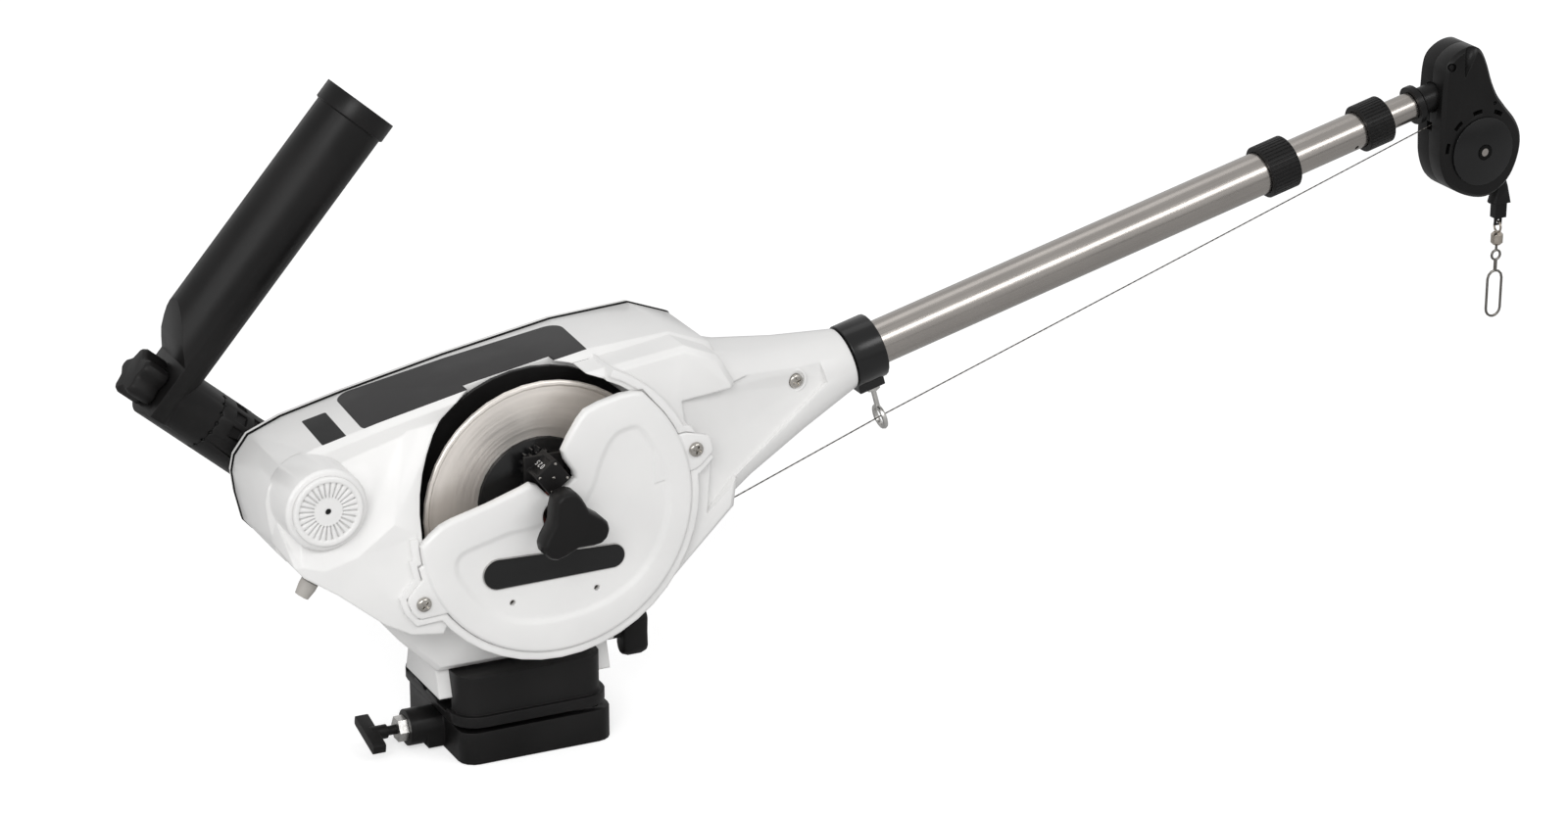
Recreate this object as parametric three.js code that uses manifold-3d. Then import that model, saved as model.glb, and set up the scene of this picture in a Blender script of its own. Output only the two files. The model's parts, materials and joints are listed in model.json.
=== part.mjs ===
// Electric downrigger: swivel base, reel housing, telescoping boom, pulley head and rod holder.
// Millimetres. +Z is up, +X points along the boom's reach, -Y is the reel's cover side.
// The origin is the centre of the mounting plate's underside.

import * as THREE from "three";
import { mergeVertices } from "three/addons/utils/BufferGeometryUtils.js";
import Module from "manifold-3d";

const wasm = await Module();
wasm.setup();

const DEG = Math.PI / 180;

// Clearances and overruns shared by all pieces
const SEAT_GAP = 0.3;
const RUNNING_GAP = 0.5;
const OVERRUN = 30;
const ROOT = 2;
const WELD_STEP = 0.001;
const SURFACE_STEP = 0.02;
const LOBE_SPREAD = 80;

// Base: the plate that is bolted down and the swivelling track on it
const PLATE = { side: 134, height: 28, corner: 14, wellRadius: 57, wellFloor: 12 };
const PLATE_BOLT = { pitch: 104, holeRadius: 3.4, sinkRadius: 6.8, sinkDepth: 6 };
const PIVOT = { radius: 6, across: 19, headHeight: 5.4, depth: 8, sinkRadius: 14 };
const PIN = {
  y: -8, z: 17.6, radius: 4, bossRadius: 15.5, bossLength: 28.6, travel: 7, nutAcross: 19, nutLength: 8,
  standOff: 17.2,
};
const HANDLE = { length: 45, width: 9, thickness: 11, tilt: 76 };
const TRACK = { left: -67, right: 60, front: -66, back: 66, bottom: 34, top: 76.4, corner: 18, ringRadius: 56 };
const LIP = { height: 9, proud: 4.5 };
const NOTCH = { count: 12, width: 9 };
const SLOT = { y: -5, mouthHalf: 31, floorHalf: 38.5, floor: 52 };
const END_POCKET = { width: 24, height: 14, depth: 16, front: -29, back: 43, z: 47, corner: 2 };
const END_EYE = { y: 8, z: 45, radius: 5, depth: 16 };

// Reel axis and the spool on it
const REEL = { x: 11, z: 217 };
const DISC = {
  radius: 104, rimFront: -61, rimWidth: 3, sheet: 1.6, face: -58.8, dishTop: 78, dishFace: -57.5,
  dishFoot: 56, centre: -46.8,
};
const MARGIN = { flange: 5.5, well: 5.5, ledge: 9.7, rim: 16.5 };
const FLANGE = { radius: DISC.radius + MARGIN.flange, face: -38, thickness: 5, coreRadius: 86 };
const CABLE = { radius: 0.6, windRadius: 88, loops: 5, pitch: 1.75, lastTurn: -45.4 };
const WIND_STEPS = 20;
const WIND_SIDES = 5;
const HUB = { radius: 53, shoulder: 42, crown: 26, back: -47.1, step: -53, front: -56 };
const SHAFT = { radius: 6, front: -116, back: 48 };
const BEARING = { outer: 11, inner: 6.3, width: 7 };
const CLUTCH = { discRadius: 12.5, discBack: -66, discFront: -79, stemRadius: 9.5 };
const STAR = { tipRadius: 32, lobeRadius: 12.5, waistRadius: 18.5, back: -103, front: -124, edge: 4 };
const STAR_ANGLE = -18;

// Reel housing, cover and well
const SEAM = { front: 39.5, gasketFront: 39.8, gasketBack: 41.2, back: 41.5, coverBack: 52 };
const SIDE = { left: -220, bottom: 78, width: 400, height: 260 };
const SHELL = { wall: 5, bodyFront: -46, blockFront: -77, panelFront: -83, bevel: 5, floorBack: -26 };
const WELL = {
  radius: FLANGE.radius + MARGIN.well, floor: -31, ledgeRadius: FLANGE.radius + MARGIN.ledge, ledge: -82.5,
  rimRadius: FLANGE.radius + MARGIN.rim, rimFront: -86,
};
const RIM = { startAngle: 181, endAngle: 426 };
const COVER_ARC = { startAngle: 184, endAngle: 403.7 };
const COVER = {
  radius: WELL.ledgeRadius - 2 * SEAT_GAP, face: -90, sheet: 3.4, panelRise: 1.6, lipDepth: 9,
  knobHole: 14, drainHole: 2, drainDrop: 71, drainSpread: 36,
};
const EAR = { face: -88, sheet: 3.6, margin: 6 };
const SCREW = {
  headRadius: 6.2, headHeight: 3.4, shankRadius: 2.2, shankLength: 16, slotDepth: 1.4, slotWidth: 1.6,
};
const MOTOR = { x: -182, z: 251, radius: 28, front: -74, back: 14, shaftRadius: 4, shaftEnd: 33 };
const POD = { radius: 34, front: -82, pocketGap: 1 };
const CAP = {
  radius: 29, back: -82.3, thickness: 3.2, fins: 30, finRise: 2.4, finInner: 13, finOuter: 26, hole: 2.5,
};
const NECK = {
  start: 150, back: 36, bottom: 172, top: 322, endRadius: 27, end: 300, screwX: 241, screwZ: 283,
  pocketDepth: 5,
};
const FOOT = { tongueTop: 80, tongueBottom: 53, left: -78, right: 74, mouthHalf: 29.6, floorHalf: 37.5 };
const CAVITY = { right: 138 };
const WING = {
  y: -26, z: 75, shankRadius: 4, shankLength: 32, start: 90.5, end: 113, tipRadius: 21, lobeRadius: 10,
  waistRadius: 9,
};
const BOOT = {
  x: SIDE.left + 0.0775 * SIDE.width, y: -60, z: SIDE.bottom + 0.42115 * SIDE.height,
  radius: 7.5, tipRadius: 6, length: 17, stemRadius: 3.2, stemLength: 5, travel: 3, skirt: 3.8,
};

// Gear train from the motor to the reel shaft
const GEAR = {
  module: 2.5, pinion: 10, wheel: 40, smallWheel: 12, idler: 20, drive: 56, backlash: 0.7, slack: 0.8,
};
const STAGE = { firstBack: 31, firstFront: 21, secondBack: 17, secondFront: 7 };
const AXLE = { radius: 4, bossRadius: 8, bossRise: 4, front: -28.5, back: 45, stubBack: 19.5 };
const COUNT_GEAR = { module: 2.0, hubTeeth: 24, wheelTeeth: 12, back: -57, front: -63.5, backlash: 0.7 };
const COUNTER = {
  angle: 37, side: 22, back: -70, front: -97, direction: 101, pinRadius: 2, tabWidth: 34, tabHeight: 26,
};

// Boom, its collars and slides; distances run along the boom from the reel axis plane
const BOOM = { x: 11, y: -16.6, z: 204.7, angle: 15.03 };
const OUTER = { radius: 19.05, bore: 17.6, start: 150, end: 738 };
const MIDDLE = { radius: 16.25, bore: 14.75, start: 262, end: 840 };
const INNER = { radius: 12.7, bore: 11.2, start: 368, end: 876 };
const COLLAR = { start: 302, end: 330, radius: 28, lugWidth: 22, lugDrop: 33 };
const LOCK_ONE = { start: 718.5, end: 747, radius: 23.6, ribs: 18, ribDepth: 1.2 };
const LOCK_TWO = { start: 820.5, end: 846.5, radius: 21.3, ribs: 18, ribDepth: 1.2 };
const BUSH = { length: 30 };
const EYE = { station: 320, drop: 65, loopRadius: 9.2, wireRadius: 2.4, nutAcross: 11, nutLength: 5 };
const FITTING = {
  ringStart: 876.5, ringEnd: 884, ringRadius: 17.5, neckRadius: 12.5, neckEnd: 918, plugStart: 848,
};

// Pulley head
const HEAD = { front: -37, back: 4, parting: -16.6, bevel: 3, left: 877, bottom: 342, width: 88, height: 146 };
const PULLEY = {
  x: 921, z: 388, groove: 35, flange: 37.5, width: 12, bore: 5.5, cavityRadius: 39.5, cavityHalf: 8,
};
const PULLEY_CAP = { radius: 31, rise: 5, crown: 22, dish: 7.2 };
const HEAD_SLOT = { inner: 34.5, outer: 38.5, spread: 15, depth: 9 };
const PULLEY_BOLT = { radius: 5, headRadius: 6.5, headHeight: 2.4, tail: 10 };
const PULLEY_NUT = { across: 15, thickness: 5 };

// Tackle that hangs from the cable
const STOP = { top: 352, shoulder: 346, bottom: 330, topRadius: 5, shoulderRadius: 7, bottomRadius: 10.5 };
const LINK = { top: 329.7, waist: 316, bottom: 308.6, half: 6, tabHalf: 1.2, holeZ: 312, holeRadius: 2.2 };
const SWIVEL = { loopRadius: 5, wire: 1.1, barrelRadius: 5.6, barrelLength: 12, socket: 3 };
const SNAP = { wire: 1.2, stem: 3, eyeRadius: 4.5, neck: 14, eyeDrop: 5, bottom: 221, half: 7.5 };

// Rod holder
const ARM = {
  x: -194, y: 79, z: 252.5, angle: 139.06, radius: 26, spigotRadius: 21.5, spigotStart: -62, start: -11.5,
  end: 45,
};
const ARM_WINDOW = { width: 9, length: 11, depth: 3, start: 20, count: 3, spread: 32 };
const ARM_POCKET = { width: 17, length: 17, depth: 3, start: -4, count: 3, spread: 55 };
const SOCKET = { radius: 28, start: -70, end: -12 };
const ROD = {
  reach: 98, length: 281, radius: 30, bore: 25.5, floor: 65, mouthRadius: 32, mouthLength: 17, heel: -20,
};
const SCOOP = { rise: 27, shoulder: 40, shoulderOut: 12, top: 74, topOut: 34 };
const ROD_KNOB = {
  start: 99, end: 122, tipRadius: 22, lobeRadius: 7.5, waistRadius: 16, shankRadius: 5, shankStart: 22,
};
const TEETH = { count: 18, depth: 2.2 };

const finishes = {
  whiteShell: finish(0xe9e9e9, 0.35, 0),
  blackPlastic: finish(0x17181a, 0.5, 0),
  softBlack: finish(0x222224, 0.75, 0),
  glossBlack: finish(0x0c0c0e, 0.2, 0),
  stainless: finish(0xb9b5ae, 0.3, 1),
  steel: finish(0x8d8f92, 0.4, 1),
  zinc: finish(0xc9c7c2, 0.35, 1),
  brass: finish(0xb58d3d, 0.35, 1),
  whiteGear: finish(0xd8d4c8, 0.5, 0),
  greyRubber: finish(0x8b8a84, 0.7, 0),
  redFriction: finish(0x6b1f1a, 0.8, 0),
  darkCable: finish(0x55514b, 0.4, 1),
};

function finish(colour, roughness, metalness) {
  return new THREE.MeshStandardMaterial({ color: colour, roughness, metalness });
}

// Solids: geometry in, closed solid out

function asSolid(piece) {
  if (!(piece instanceof THREE.BufferGeometry)) {
    return piece;
  }
  const bare = new THREE.BufferGeometry();
  bare.setAttribute("position", piece.getAttribute("position").clone());
  if (piece.index) {
    bare.setIndex(piece.index.clone());
  }
  const merged = mergeVertices(bare, WELD_STEP);
  const places = merged.getAttribute("position").array;
  const corners = merged.index.array;
  const triangles = [];
  for (let i = 0; i < corners.length; i += 3) {
    const [a, b, c] = [corners[i], corners[i + 1], corners[i + 2]];
    if (a !== b && b !== c && c !== a) {
      triangles.push(a, b, c);
    }
  }
  if (signedVolume(places, triangles) < 0) {
    triangles.reverse();
  }
  const mesh = new wasm.Mesh({
    numProp: 3,
    vertProperties: Float32Array.from(places),
    triVerts: Uint32Array.from(triangles),
  });
  return new wasm.Manifold(mesh);
}

function signedVolume(places, triangles) {
  const [a, b, c] = [new THREE.Vector3(), new THREE.Vector3(), new THREE.Vector3()];
  let total = 0;
  for (let i = 0; i < triangles.length; i += 3) {
    a.fromArray(places, 3 * triangles[i]);
    b.fromArray(places, 3 * triangles[i + 1]);
    c.fromArray(places, 3 * triangles[i + 2]);
    total += a.dot(b.cross(c));
  }
  return total;
}

function join(first, ...others) {
  return others.reduce((sum, piece) => sum.add(asSolid(piece)), asSolid(first));
}

function cut(body, ...tools) {
  return tools.reduce((rest, tool) => rest.subtract(asSolid(tool)), asSolid(body));
}

function keep(body, region) {
  return asSolid(body).intersect(asSolid(region));
}

function toGeometry(solid) {
  const mesh = asSolid(solid).asOriginal().simplify(SURFACE_STEP).getMesh();
  const geometry = new THREE.BufferGeometry();
  geometry.setAttribute("position", new THREE.BufferAttribute(Float32Array.from(mesh.vertProperties), 3));
  geometry.setIndex(new THREE.BufferAttribute(Uint32Array.from(mesh.triVerts), 1));
  return geometry;
}

function add(group, name, solid, material) {
  const mesh = new THREE.Mesh(toGeometry(solid), material);
  mesh.name = name;
  group.add(mesh);
  return mesh;
}

// Shapes

function polygon(points) {
  return new THREE.Shape(points.map(([u, v]) => new THREE.Vector2(u, v)));
}

function circlePoints(cx, cy, radius, count, startAngle = 0) {
  return Array.from({ length: count }, (_, i) => {
    const angle = startAngle * DEG + (2 * Math.PI * i) / count;
    return [cx + radius * Math.cos(angle), cy + radius * Math.sin(angle)];
  });
}

function arcPoints(cx, cy, radius, fromAngle, toAngle, count) {
  return Array.from({ length: count + 1 }, (_, i) => {
    const angle = (fromAngle + ((toAngle - fromAngle) * i) / count) * DEG;
    return [cx + radius * Math.cos(angle), cy + radius * Math.sin(angle)];
  });
}

function roundedRectangle(left, right, bottom, top, corner, steps = 4) {
  return [
    ...arcPoints(right - corner, bottom + corner, corner, -90, 0, steps),
    ...arcPoints(right - corner, top - corner, corner, 0, 90, steps),
    ...arcPoints(left + corner, top - corner, corner, 90, 180, steps),
    ...arcPoints(left + corner, bottom + corner, corner, 180, 270, steps),
  ];
}

function rectangle(left, right, bottom, top) {
  return [[left, bottom], [right, bottom], [right, top], [left, top]];
}

// Points given as shares of a frame's width and height
function framed(frame, shares) {
  return shares.map(([u, v]) => [frame.left + u * frame.width, frame.bottom + v * frame.height]);
}

// Outline moved inwards by a wall's thickness; points run anticlockwise
function inset(points, wall) {
  const count = points.length;
  return points.map((point, i) => {
    const before = points[(i + count - 1) % count];
    const after = points[(i + 1) % count];
    const inward = edgeNormal(before, point).add(edgeNormal(point, after));
    const square = Math.max(inward.lengthSq(), 1);
    return [point[0] + (2 * wall * inward.x) / square, point[1] + (2 * wall * inward.y) / square];
  });
}

function edgeNormal(from, to) {
  return new THREE.Vector2(from[1] - to[1], to[0] - from[0]).normalize();
}

// Extrusions along the three axes; an outline's points are (x, z), (y, z) or (x, y)

function alongY(points, front, back, bevel = 0) {
  const options = { depth: back - front - 2 * bevel, bevelEnabled: bevel > 0 };
  Object.assign(options, { bevelThickness: bevel, bevelSize: bevel, bevelOffset: -bevel, bevelSegments: 1 });
  const geometry = new THREE.ExtrudeGeometry(polygon(points), options);
  return geometry.rotateX(Math.PI / 2).translate(0, back - bevel, 0);
}

function alongX(points, start, end) {
  const geometry = new THREE.ExtrudeGeometry(polygon(points), { depth: end - start, bevelEnabled: false });
  const cycle = new THREE.Matrix4().makeBasis(
    new THREE.Vector3(0, 1, 0), new THREE.Vector3(0, 0, 1), new THREE.Vector3(1, 0, 0),
  );
  return geometry.applyMatrix4(cycle).translate(start, 0, 0);
}

function alongZ(points, bottom, top) {
  const geometry = new THREE.ExtrudeGeometry(polygon(points), { depth: top - bottom, bevelEnabled: false });
  return geometry.translate(0, 0, bottom);
}

// Round bars about an axis parallel to Y, X or Z

function barY(x, z, radius, front, back, sides = 32) {
  return turned([[0, front], [radius, front], [radius, back], [0, back]], sides).translate(x, 0, z);
}

function barX(y, z, radius, start, end, sides = 24) {
  const bar = turned([[0, start], [radius, start], [radius, end], [0, end]], sides);
  return bar.rotateZ(-Math.PI / 2).translate(0, y, z);
}

function barZ(x, y, radius, bottom, top, sides = 24) {
  const bar = turned([[0, bottom], [radius, bottom], [radius, top], [0, top]], sides);
  return bar.rotateX(Math.PI / 2).translate(x, y, 0);
}

// A profile of (radius, height) points turned about Y
function turned(profile, sides = 32) {
  const points = profile.map(([radius, height]) => new THREE.Vector2(radius, height));
  const closed = profile[0][0] > 0 ? [...points, points[0].clone()] : points;
  return new THREE.LatheGeometry(closed, sides);
}

function ring(inner, outer, from, to, sides = 32) {
  return turned([[inner, from], [outer, from], [outer, to], [inner, to]], sides);
}

// Closed skin through rings of equally many points, each a list of [x, y, z]
function loft(rings) {
  const count = rings[0].length;
  const places = rings.flat(2);
  const index = [];
  for (let r = 0; r + 1 < rings.length; r += 1) {
    for (let i = 0; i < count; i += 1) {
      const [a, b] = [r * count + i, r * count + ((i + 1) % count)];
      index.push(a, b, b + count, a, b + count, a + count);
    }
  }
  const last = (rings.length - 1) * count;
  for (const [a, b, c] of capTriangles(rings[0])) {
    index.push(c, b, a);
  }
  for (const [a, b, c] of capTriangles(rings.at(-1))) {
    index.push(last + a, last + b, last + c);
  }
  const geometry = new THREE.BufferGeometry();
  geometry.setAttribute("position", new THREE.Float32BufferAttribute(places, 3));
  geometry.setIndex(index);
  return geometry;
}

function capTriangles(points) {
  const origin = new THREE.Vector3(...points[0]);
  const normal = new THREE.Vector3();
  points.forEach((point, i) => {
    const here = new THREE.Vector3(...point).sub(origin);
    const next = new THREE.Vector3(...points[(i + 1) % points.length]).sub(origin);
    normal.add(here.cross(next));
  });
  normal.normalize();
  const across = new THREE.Vector3(...points[1]).sub(origin).normalize();
  const up = normal.clone().cross(across);
  const flat = points.map((point) => {
    const offset = new THREE.Vector3(...point).sub(origin);
    return new THREE.Vector2(offset.dot(across), offset.dot(up));
  });
  return THREE.ShapeUtils.triangulateShape(flat, []);
}

// Tube through a list of points, with its section held square to a fixed side direction
function tube(points, radius, sides, closed = false) {
  const centres = points.map((point) => new THREE.Vector3(...point));
  const count = centres.length;
  let side = null;
  const rings = centres.map((centre, i) => {
    const before = centres[closed ? (i + count - 1) % count : Math.max(i - 1, 0)];
    const after = centres[closed ? (i + 1) % count : Math.min(i + 1, count - 1)];
    const along = after.clone().sub(before).normalize();
    const seed = side ?? perpendicularTo(along);
    side = seed.clone().addScaledVector(along, -seed.dot(along)).normalize();
    const other = along.clone().cross(side);
    return Array.from({ length: sides }, (_, k) => {
      const angle = (2 * Math.PI * k) / sides;
      const reach = side.clone().multiplyScalar(Math.cos(angle) * radius);
      return centre.clone().add(reach).addScaledVector(other, Math.sin(angle) * radius).toArray();
    });
  });
  return closed ? closedSkin(rings) : loft(rings);
}

function perpendicularTo(direction) {
  const least = Math.abs(direction.y) < Math.abs(direction.z) ? [0, 1, 0] : [0, 0, 1];
  return new THREE.Vector3(...least);
}

function closedSkin(rings) {
  const count = rings[0].length;
  const index = [];
  for (let r = 0; r < rings.length; r += 1) {
    const next = (r + 1) % rings.length;
    for (let i = 0; i < count; i += 1) {
      const j = (i + 1) % count;
      const corners = [r * count + i, r * count + j, next * count + j, next * count + i];
      index.push(corners[0], corners[1], corners[2], corners[0], corners[2], corners[3]);
    }
  }
  const geometry = new THREE.BufferGeometry();
  geometry.setAttribute("position", new THREE.Float32BufferAttribute(rings.flat(2), 3));
  geometry.setIndex(index);
  return geometry;
}

// Lobed knob outline: round lobes joined by hollow waists
function lobedOutline(lobes, tipRadius, lobeRadius, waistRadius, startAngle, steps = 5) {
  const points = [];
  const centreRadius = tipRadius - lobeRadius;
  for (let lobe = 0; lobe < lobes; lobe += 1) {
    const middle = startAngle + (360 * lobe) / lobes;
    const cx = centreRadius * Math.cos(middle * DEG);
    const cy = centreRadius * Math.sin(middle * DEG);
    points.push(...arcPoints(cx, cy, lobeRadius, middle - LOBE_SPREAD, middle + LOBE_SPREAD, steps));
    const waist = (middle + 180 / lobes) * DEG;
    points.push([waistRadius * Math.cos(waist), waistRadius * Math.sin(waist)]);
  }
  return points;
}

// Gear outline with straight-flanked teeth, a tooth centred on the given angle
function gearOutline(teeth, module, backlash, toothAngle) {
  const pitch = (teeth * module) / 2;
  const [tip, root] = [pitch + 0.9 * module, pitch - 1.15 * module];
  const halfPitch = 90 / teeth - (backlash / pitch / 2) / DEG;
  const slope = (Math.tan(20 * DEG) * module) / pitch / DEG;
  const points = [];
  for (let i = 0; i < teeth; i += 1) {
    const middle = toothAngle + (360 * i) / teeth;
    const corners = [
      [root, -halfPitch - 1.15 * slope],
      [tip, -halfPitch + 0.9 * slope],
      [tip, halfPitch - 0.9 * slope],
      [root, halfPitch + 1.15 * slope],
    ];
    for (const [radius, turn] of corners) {
      const angle = (middle + turn) * DEG;
      points.push([radius * Math.cos(angle), radius * Math.sin(angle)]);
    }
  }
  return points;
}

function shifted(points, dx, dy) {
  return points.map(([u, v]) => [u + dx, v + dy]);
}

function hexagon(across) {
  return circlePoints(0, 0, across / Math.sqrt(3), 6);
}

// Pan-head screw along +Y: head in front, cross slots, shank behind
function panScrew(headBack) {
  const { headRadius, headHeight, shankRadius, shankLength, slotDepth, slotWidth } = SCREW;
  const crown = headBack - headHeight;
  const chamfer = headHeight / 2;
  const blank = turned([
    [0, crown], [headRadius - chamfer, crown], [headRadius, crown + chamfer], [headRadius, headBack],
    [shankRadius, headBack], [shankRadius, headBack + shankLength], [0, headBack + shankLength],
  ], 16);
  const reach = headRadius / 2;
  const upright = alongY(rectangle(-slotWidth / 2, slotWidth / 2, -reach, reach), crown - ROOT, crown + slotDepth);
  const level = alongY(rectangle(-reach, reach, -slotWidth / 2, slotWidth / 2), crown - ROOT, crown + slotDepth);
  return cut(blank, upright, level);
}

// Outlines of the housing's side, as shares of its length and height

const FOOT_SHARES = [[0.353, 0], [0.745, 0], [0.752, 0.045]];
const CHIN_SHARES = [[0.79, 0.13], [0.885, 0.28], [0.995, 0.435], [1.015, 0.62]];
const CROWN_SHARES = [[1, 0.86], [0.965, 0.955], [0.875, 1.008], [0.7, 0.992], [0.46, 0.927], [0.245, 0.858], [0.11, 0.808]];
const TAIL_SHARES = [[0.04, 0.765], [0.01, 0.705], [0.003, 0.655], [0.008, 0.585], [0.022, 0.49], [0.04, 0.458]];
const HEEL_SHARES = [[0.11, 0.385], [0.205, 0.256], [0.24, 0.19], [0.273, 0.127]];
const sideOutline = framed(SIDE, [...FOOT_SHARES, ...CHIN_SHARES, ...CROWN_SHARES, ...TAIL_SHARES, ...HEEL_SHARES]);

// The sloping front panel at the lower left: its front edge and its root on the body
const PANEL_FRONT_SHARES = [
  [0.022, 0.497], [0.04, 0.461], [0.11, 0.385], [0.205, 0.262], [0.262, 0.212], [0.33, 0.196],
  [0.37, 0.315], [0.3, 0.523], [0.233, 0.583], [0.153, 0.496], [0.085, 0.469], [0.035, 0.496],
];
const PANEL_ROOT_SHARES = [
  [0.012, 0.53], [0.04, 0.461], [0.11, 0.385], [0.205, 0.262], [0.262, 0.212], [0.33, 0.196],
  [0.37, 0.315], [0.4, 0.888], [0.313, 0.869], [0.2, 0.823], [0.088, 0.762], [0.018, 0.623],
];
const BLOCK_SHARES = [
  [0.66, 0.96], [0.66, 0.5], [0.79, 0.14], [0.885, 0.285], [0.985, 0.435], [1, 0.62], [0.985, 0.86], [0.95, 0.95],
  [0.875, 1.0],
];
const POCKET_SHARES = [[0.865, 0.823], [1.203, 0.873], [1.228, 0.762], [0.985, 0.52], [0.92, 0.431], [0.93, 0.62], [0.87, 0.76]];

// The reel cover's edge that is not round, and its inner raised panel, as shares of the side's frame
const COVER_TOP_SHARES = [
  [0.7675, 0.896], [0.72, 0.896], [0.6375, 0.865], [0.5825, 0.731], [0.617, 0.641], [0.565, 0.588],
  [0.5225, 0.655], [0.5, 0.64], [0.3325, 0.569],
];
const RIGHT_EAR_SHARES = [[0.79, 0.58], [0.8875, 0.608], [0.9225, 0.658], [0.915, 0.708], [0.8625, 0.731], [0.79, 0.72]];
const LEFT_EAR_SHARES = [
  [0.375, 0.277], [0.35, 0.45], [0.2775, 0.438], [0.285, 0.388], [0.2525, 0.335], [0.26, 0.3], [0.2775, 0.265],
  [0.33, 0.269],
];
const PANEL_RISE_SHARES = [
  [0.395, 0.38], [0.46, 0.25], [0.58, 0.2], [0.7, 0.27], [0.775, 0.42], [0.8, 0.58], [0.775, 0.74], [0.725, 0.8],
  [0.685, 0.78], [0.66, 0.68], [0.6, 0.56], [0.52, 0.52], [0.42, 0.49],
];
const EAR_SCREWS = { rightX: 133, rightZ: 253, leftX: -106, leftZ: 160 };

// Axes of the gear train: each wheel's centre follows from its neighbours' tooth counts

const centreDistance = (first, second) => ((first + second) * GEAR.module) / 2;
const idlerReach = centreDistance(GEAR.drive, GEAR.idler);
const wheelReach = centreDistance(GEAR.wheel, GEAR.pinion);
const linkReach = centreDistance(GEAR.smallWheel, GEAR.idler);
const reductionAxis = meetingPoint(MOTOR, wheelReach, REEL, idlerReach + linkReach - GEAR.slack, -1);
const idlerAxis = meetingPoint(reductionAxis, linkReach, REEL, idlerReach, -1);

// Point at given distances from two centres, on the chosen side of their line
function meetingPoint(first, firstReach, second, secondReach, side) {
  const along = new THREE.Vector2(second.x - first.x, second.z - first.z);
  const distance = along.length();
  along.divideScalar(distance);
  const forward = (distance ** 2 + firstReach ** 2 - secondReach ** 2) / (2 * distance);
  const aside = side * Math.sqrt(Math.max(firstReach ** 2 - forward ** 2, 0));
  return { x: first.x + along.x * forward - along.y * aside, z: first.z + along.y * forward + along.x * aside };
}

function bearingTo(from, to) {
  return Math.atan2(to.z - from.z, to.x - from.x) / DEG;
}

// The boom's own frame: local Y runs out along the boom, local X to the front, local Z square to both

const boomRise = BOOM.angle * DEG;
const boomFrame = new THREE.Matrix4().makeBasis(
  new THREE.Vector3(0, -1, 0),
  new THREE.Vector3(Math.cos(boomRise), 0, Math.sin(boomRise)),
  new THREE.Vector3(-Math.sin(boomRise), 0, Math.cos(boomRise)),
).setPosition(BOOM.x, BOOM.y, BOOM.z);

// The rod holder's frame: local Y out along its arm, local Z along the rod tube, local X to the back
const armTurn = ARM.angle * DEG;
const armFrame = new THREE.Matrix4().makeBasis(
  new THREE.Vector3(0, 1, 0),
  new THREE.Vector3(Math.cos(armTurn), 0, Math.sin(armTurn)),
  new THREE.Vector3(Math.sin(armTurn), 0, -Math.cos(armTurn)),
).setPosition(ARM.x, ARM.y, ARM.z);

function frameGroup(matrix) {
  const group = new THREE.Group();
  matrix.decompose(group.position, group.quaternion, group.scale);
  return group;
}

function boomPoint(along, front = 0, up = 0) {
  return new THREE.Vector3(front, along, up).applyMatrix4(boomFrame);
}

// Everything behind a plane of constant y, wide enough for any piece of the housing
function behind(y) {
  return alongY(rectangle(SIDE.left - SIDE.width, SIDE.left + 4 * SIDE.width, 0, 4 * SIDE.height), y, y + SIDE.width);
}

function inFrontOf(y) {
  return alongY(rectangle(SIDE.left - SIDE.width, SIDE.left + 4 * SIDE.width, 0, 4 * SIDE.height), y - SIDE.width, y);
}

// Mounting base

function mountPlate() {
  const half = PLATE.side / 2;
  const slab = alongZ(roundedRectangle(-half, half, -half, half, PLATE.corner), 0, PLATE.height);
  const boss = barX(PIN.y, PIN.z, PIN.bossRadius, -half - PIN.bossLength, ROOT - half);
  const web = alongZ(
    rectangle(-half - PIN.bossLength / 2, ROOT - half, PIN.y - PIN.bossRadius, PIN.y + PIN.bossRadius),
    PIN.z - PIN.bossRadius, PIN.z,
  );
  const well = barZ(0, 0, PLATE.wellRadius, PLATE.wellFloor, PLATE.height + OVERRUN, 40);
  const pinBore = barX(PIN.y, PIN.z, PIN.radius + SEAT_GAP, -half - PIN.bossLength - OVERRUN, -TRACK.ringRadius / 2, 16);
  const pivotHole = barZ(0, 0, PIVOT.radius + SEAT_GAP, PLATE.wellFloor - PIVOT.depth - SEAT_GAP, PLATE.height, 16);
  const boltHoles = [];
  for (const [sx, sy] of [[-1, -1], [1, -1], [1, 1], [-1, 1]]) {
    const [x, y] = [(sx * PLATE_BOLT.pitch) / 2, (sy * PLATE_BOLT.pitch) / 2];
    boltHoles.push(barZ(x, y, PLATE_BOLT.holeRadius, -OVERRUN, PLATE.height + OVERRUN, 12));
    boltHoles.push(barZ(x, y, PLATE_BOLT.sinkRadius, PLATE.height - PLATE_BOLT.sinkDepth, PLATE.height + OVERRUN, 12));
  }
  return cut(join(slab, boss, web), well, pinBore, pivotHole, ...boltHoles);
}

function pivotBolt() {
  const headBottom = SLOT.floor - SEAT_GAP - PIVOT.headHeight;
  const shank = barZ(0, 0, PIVOT.radius, PLATE.wellFloor - PIVOT.depth, headBottom + ROOT, 16);
  return join(shank, alongZ(hexagon(PIVOT.across), headBottom, headBottom + PIVOT.headHeight));
}

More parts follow.
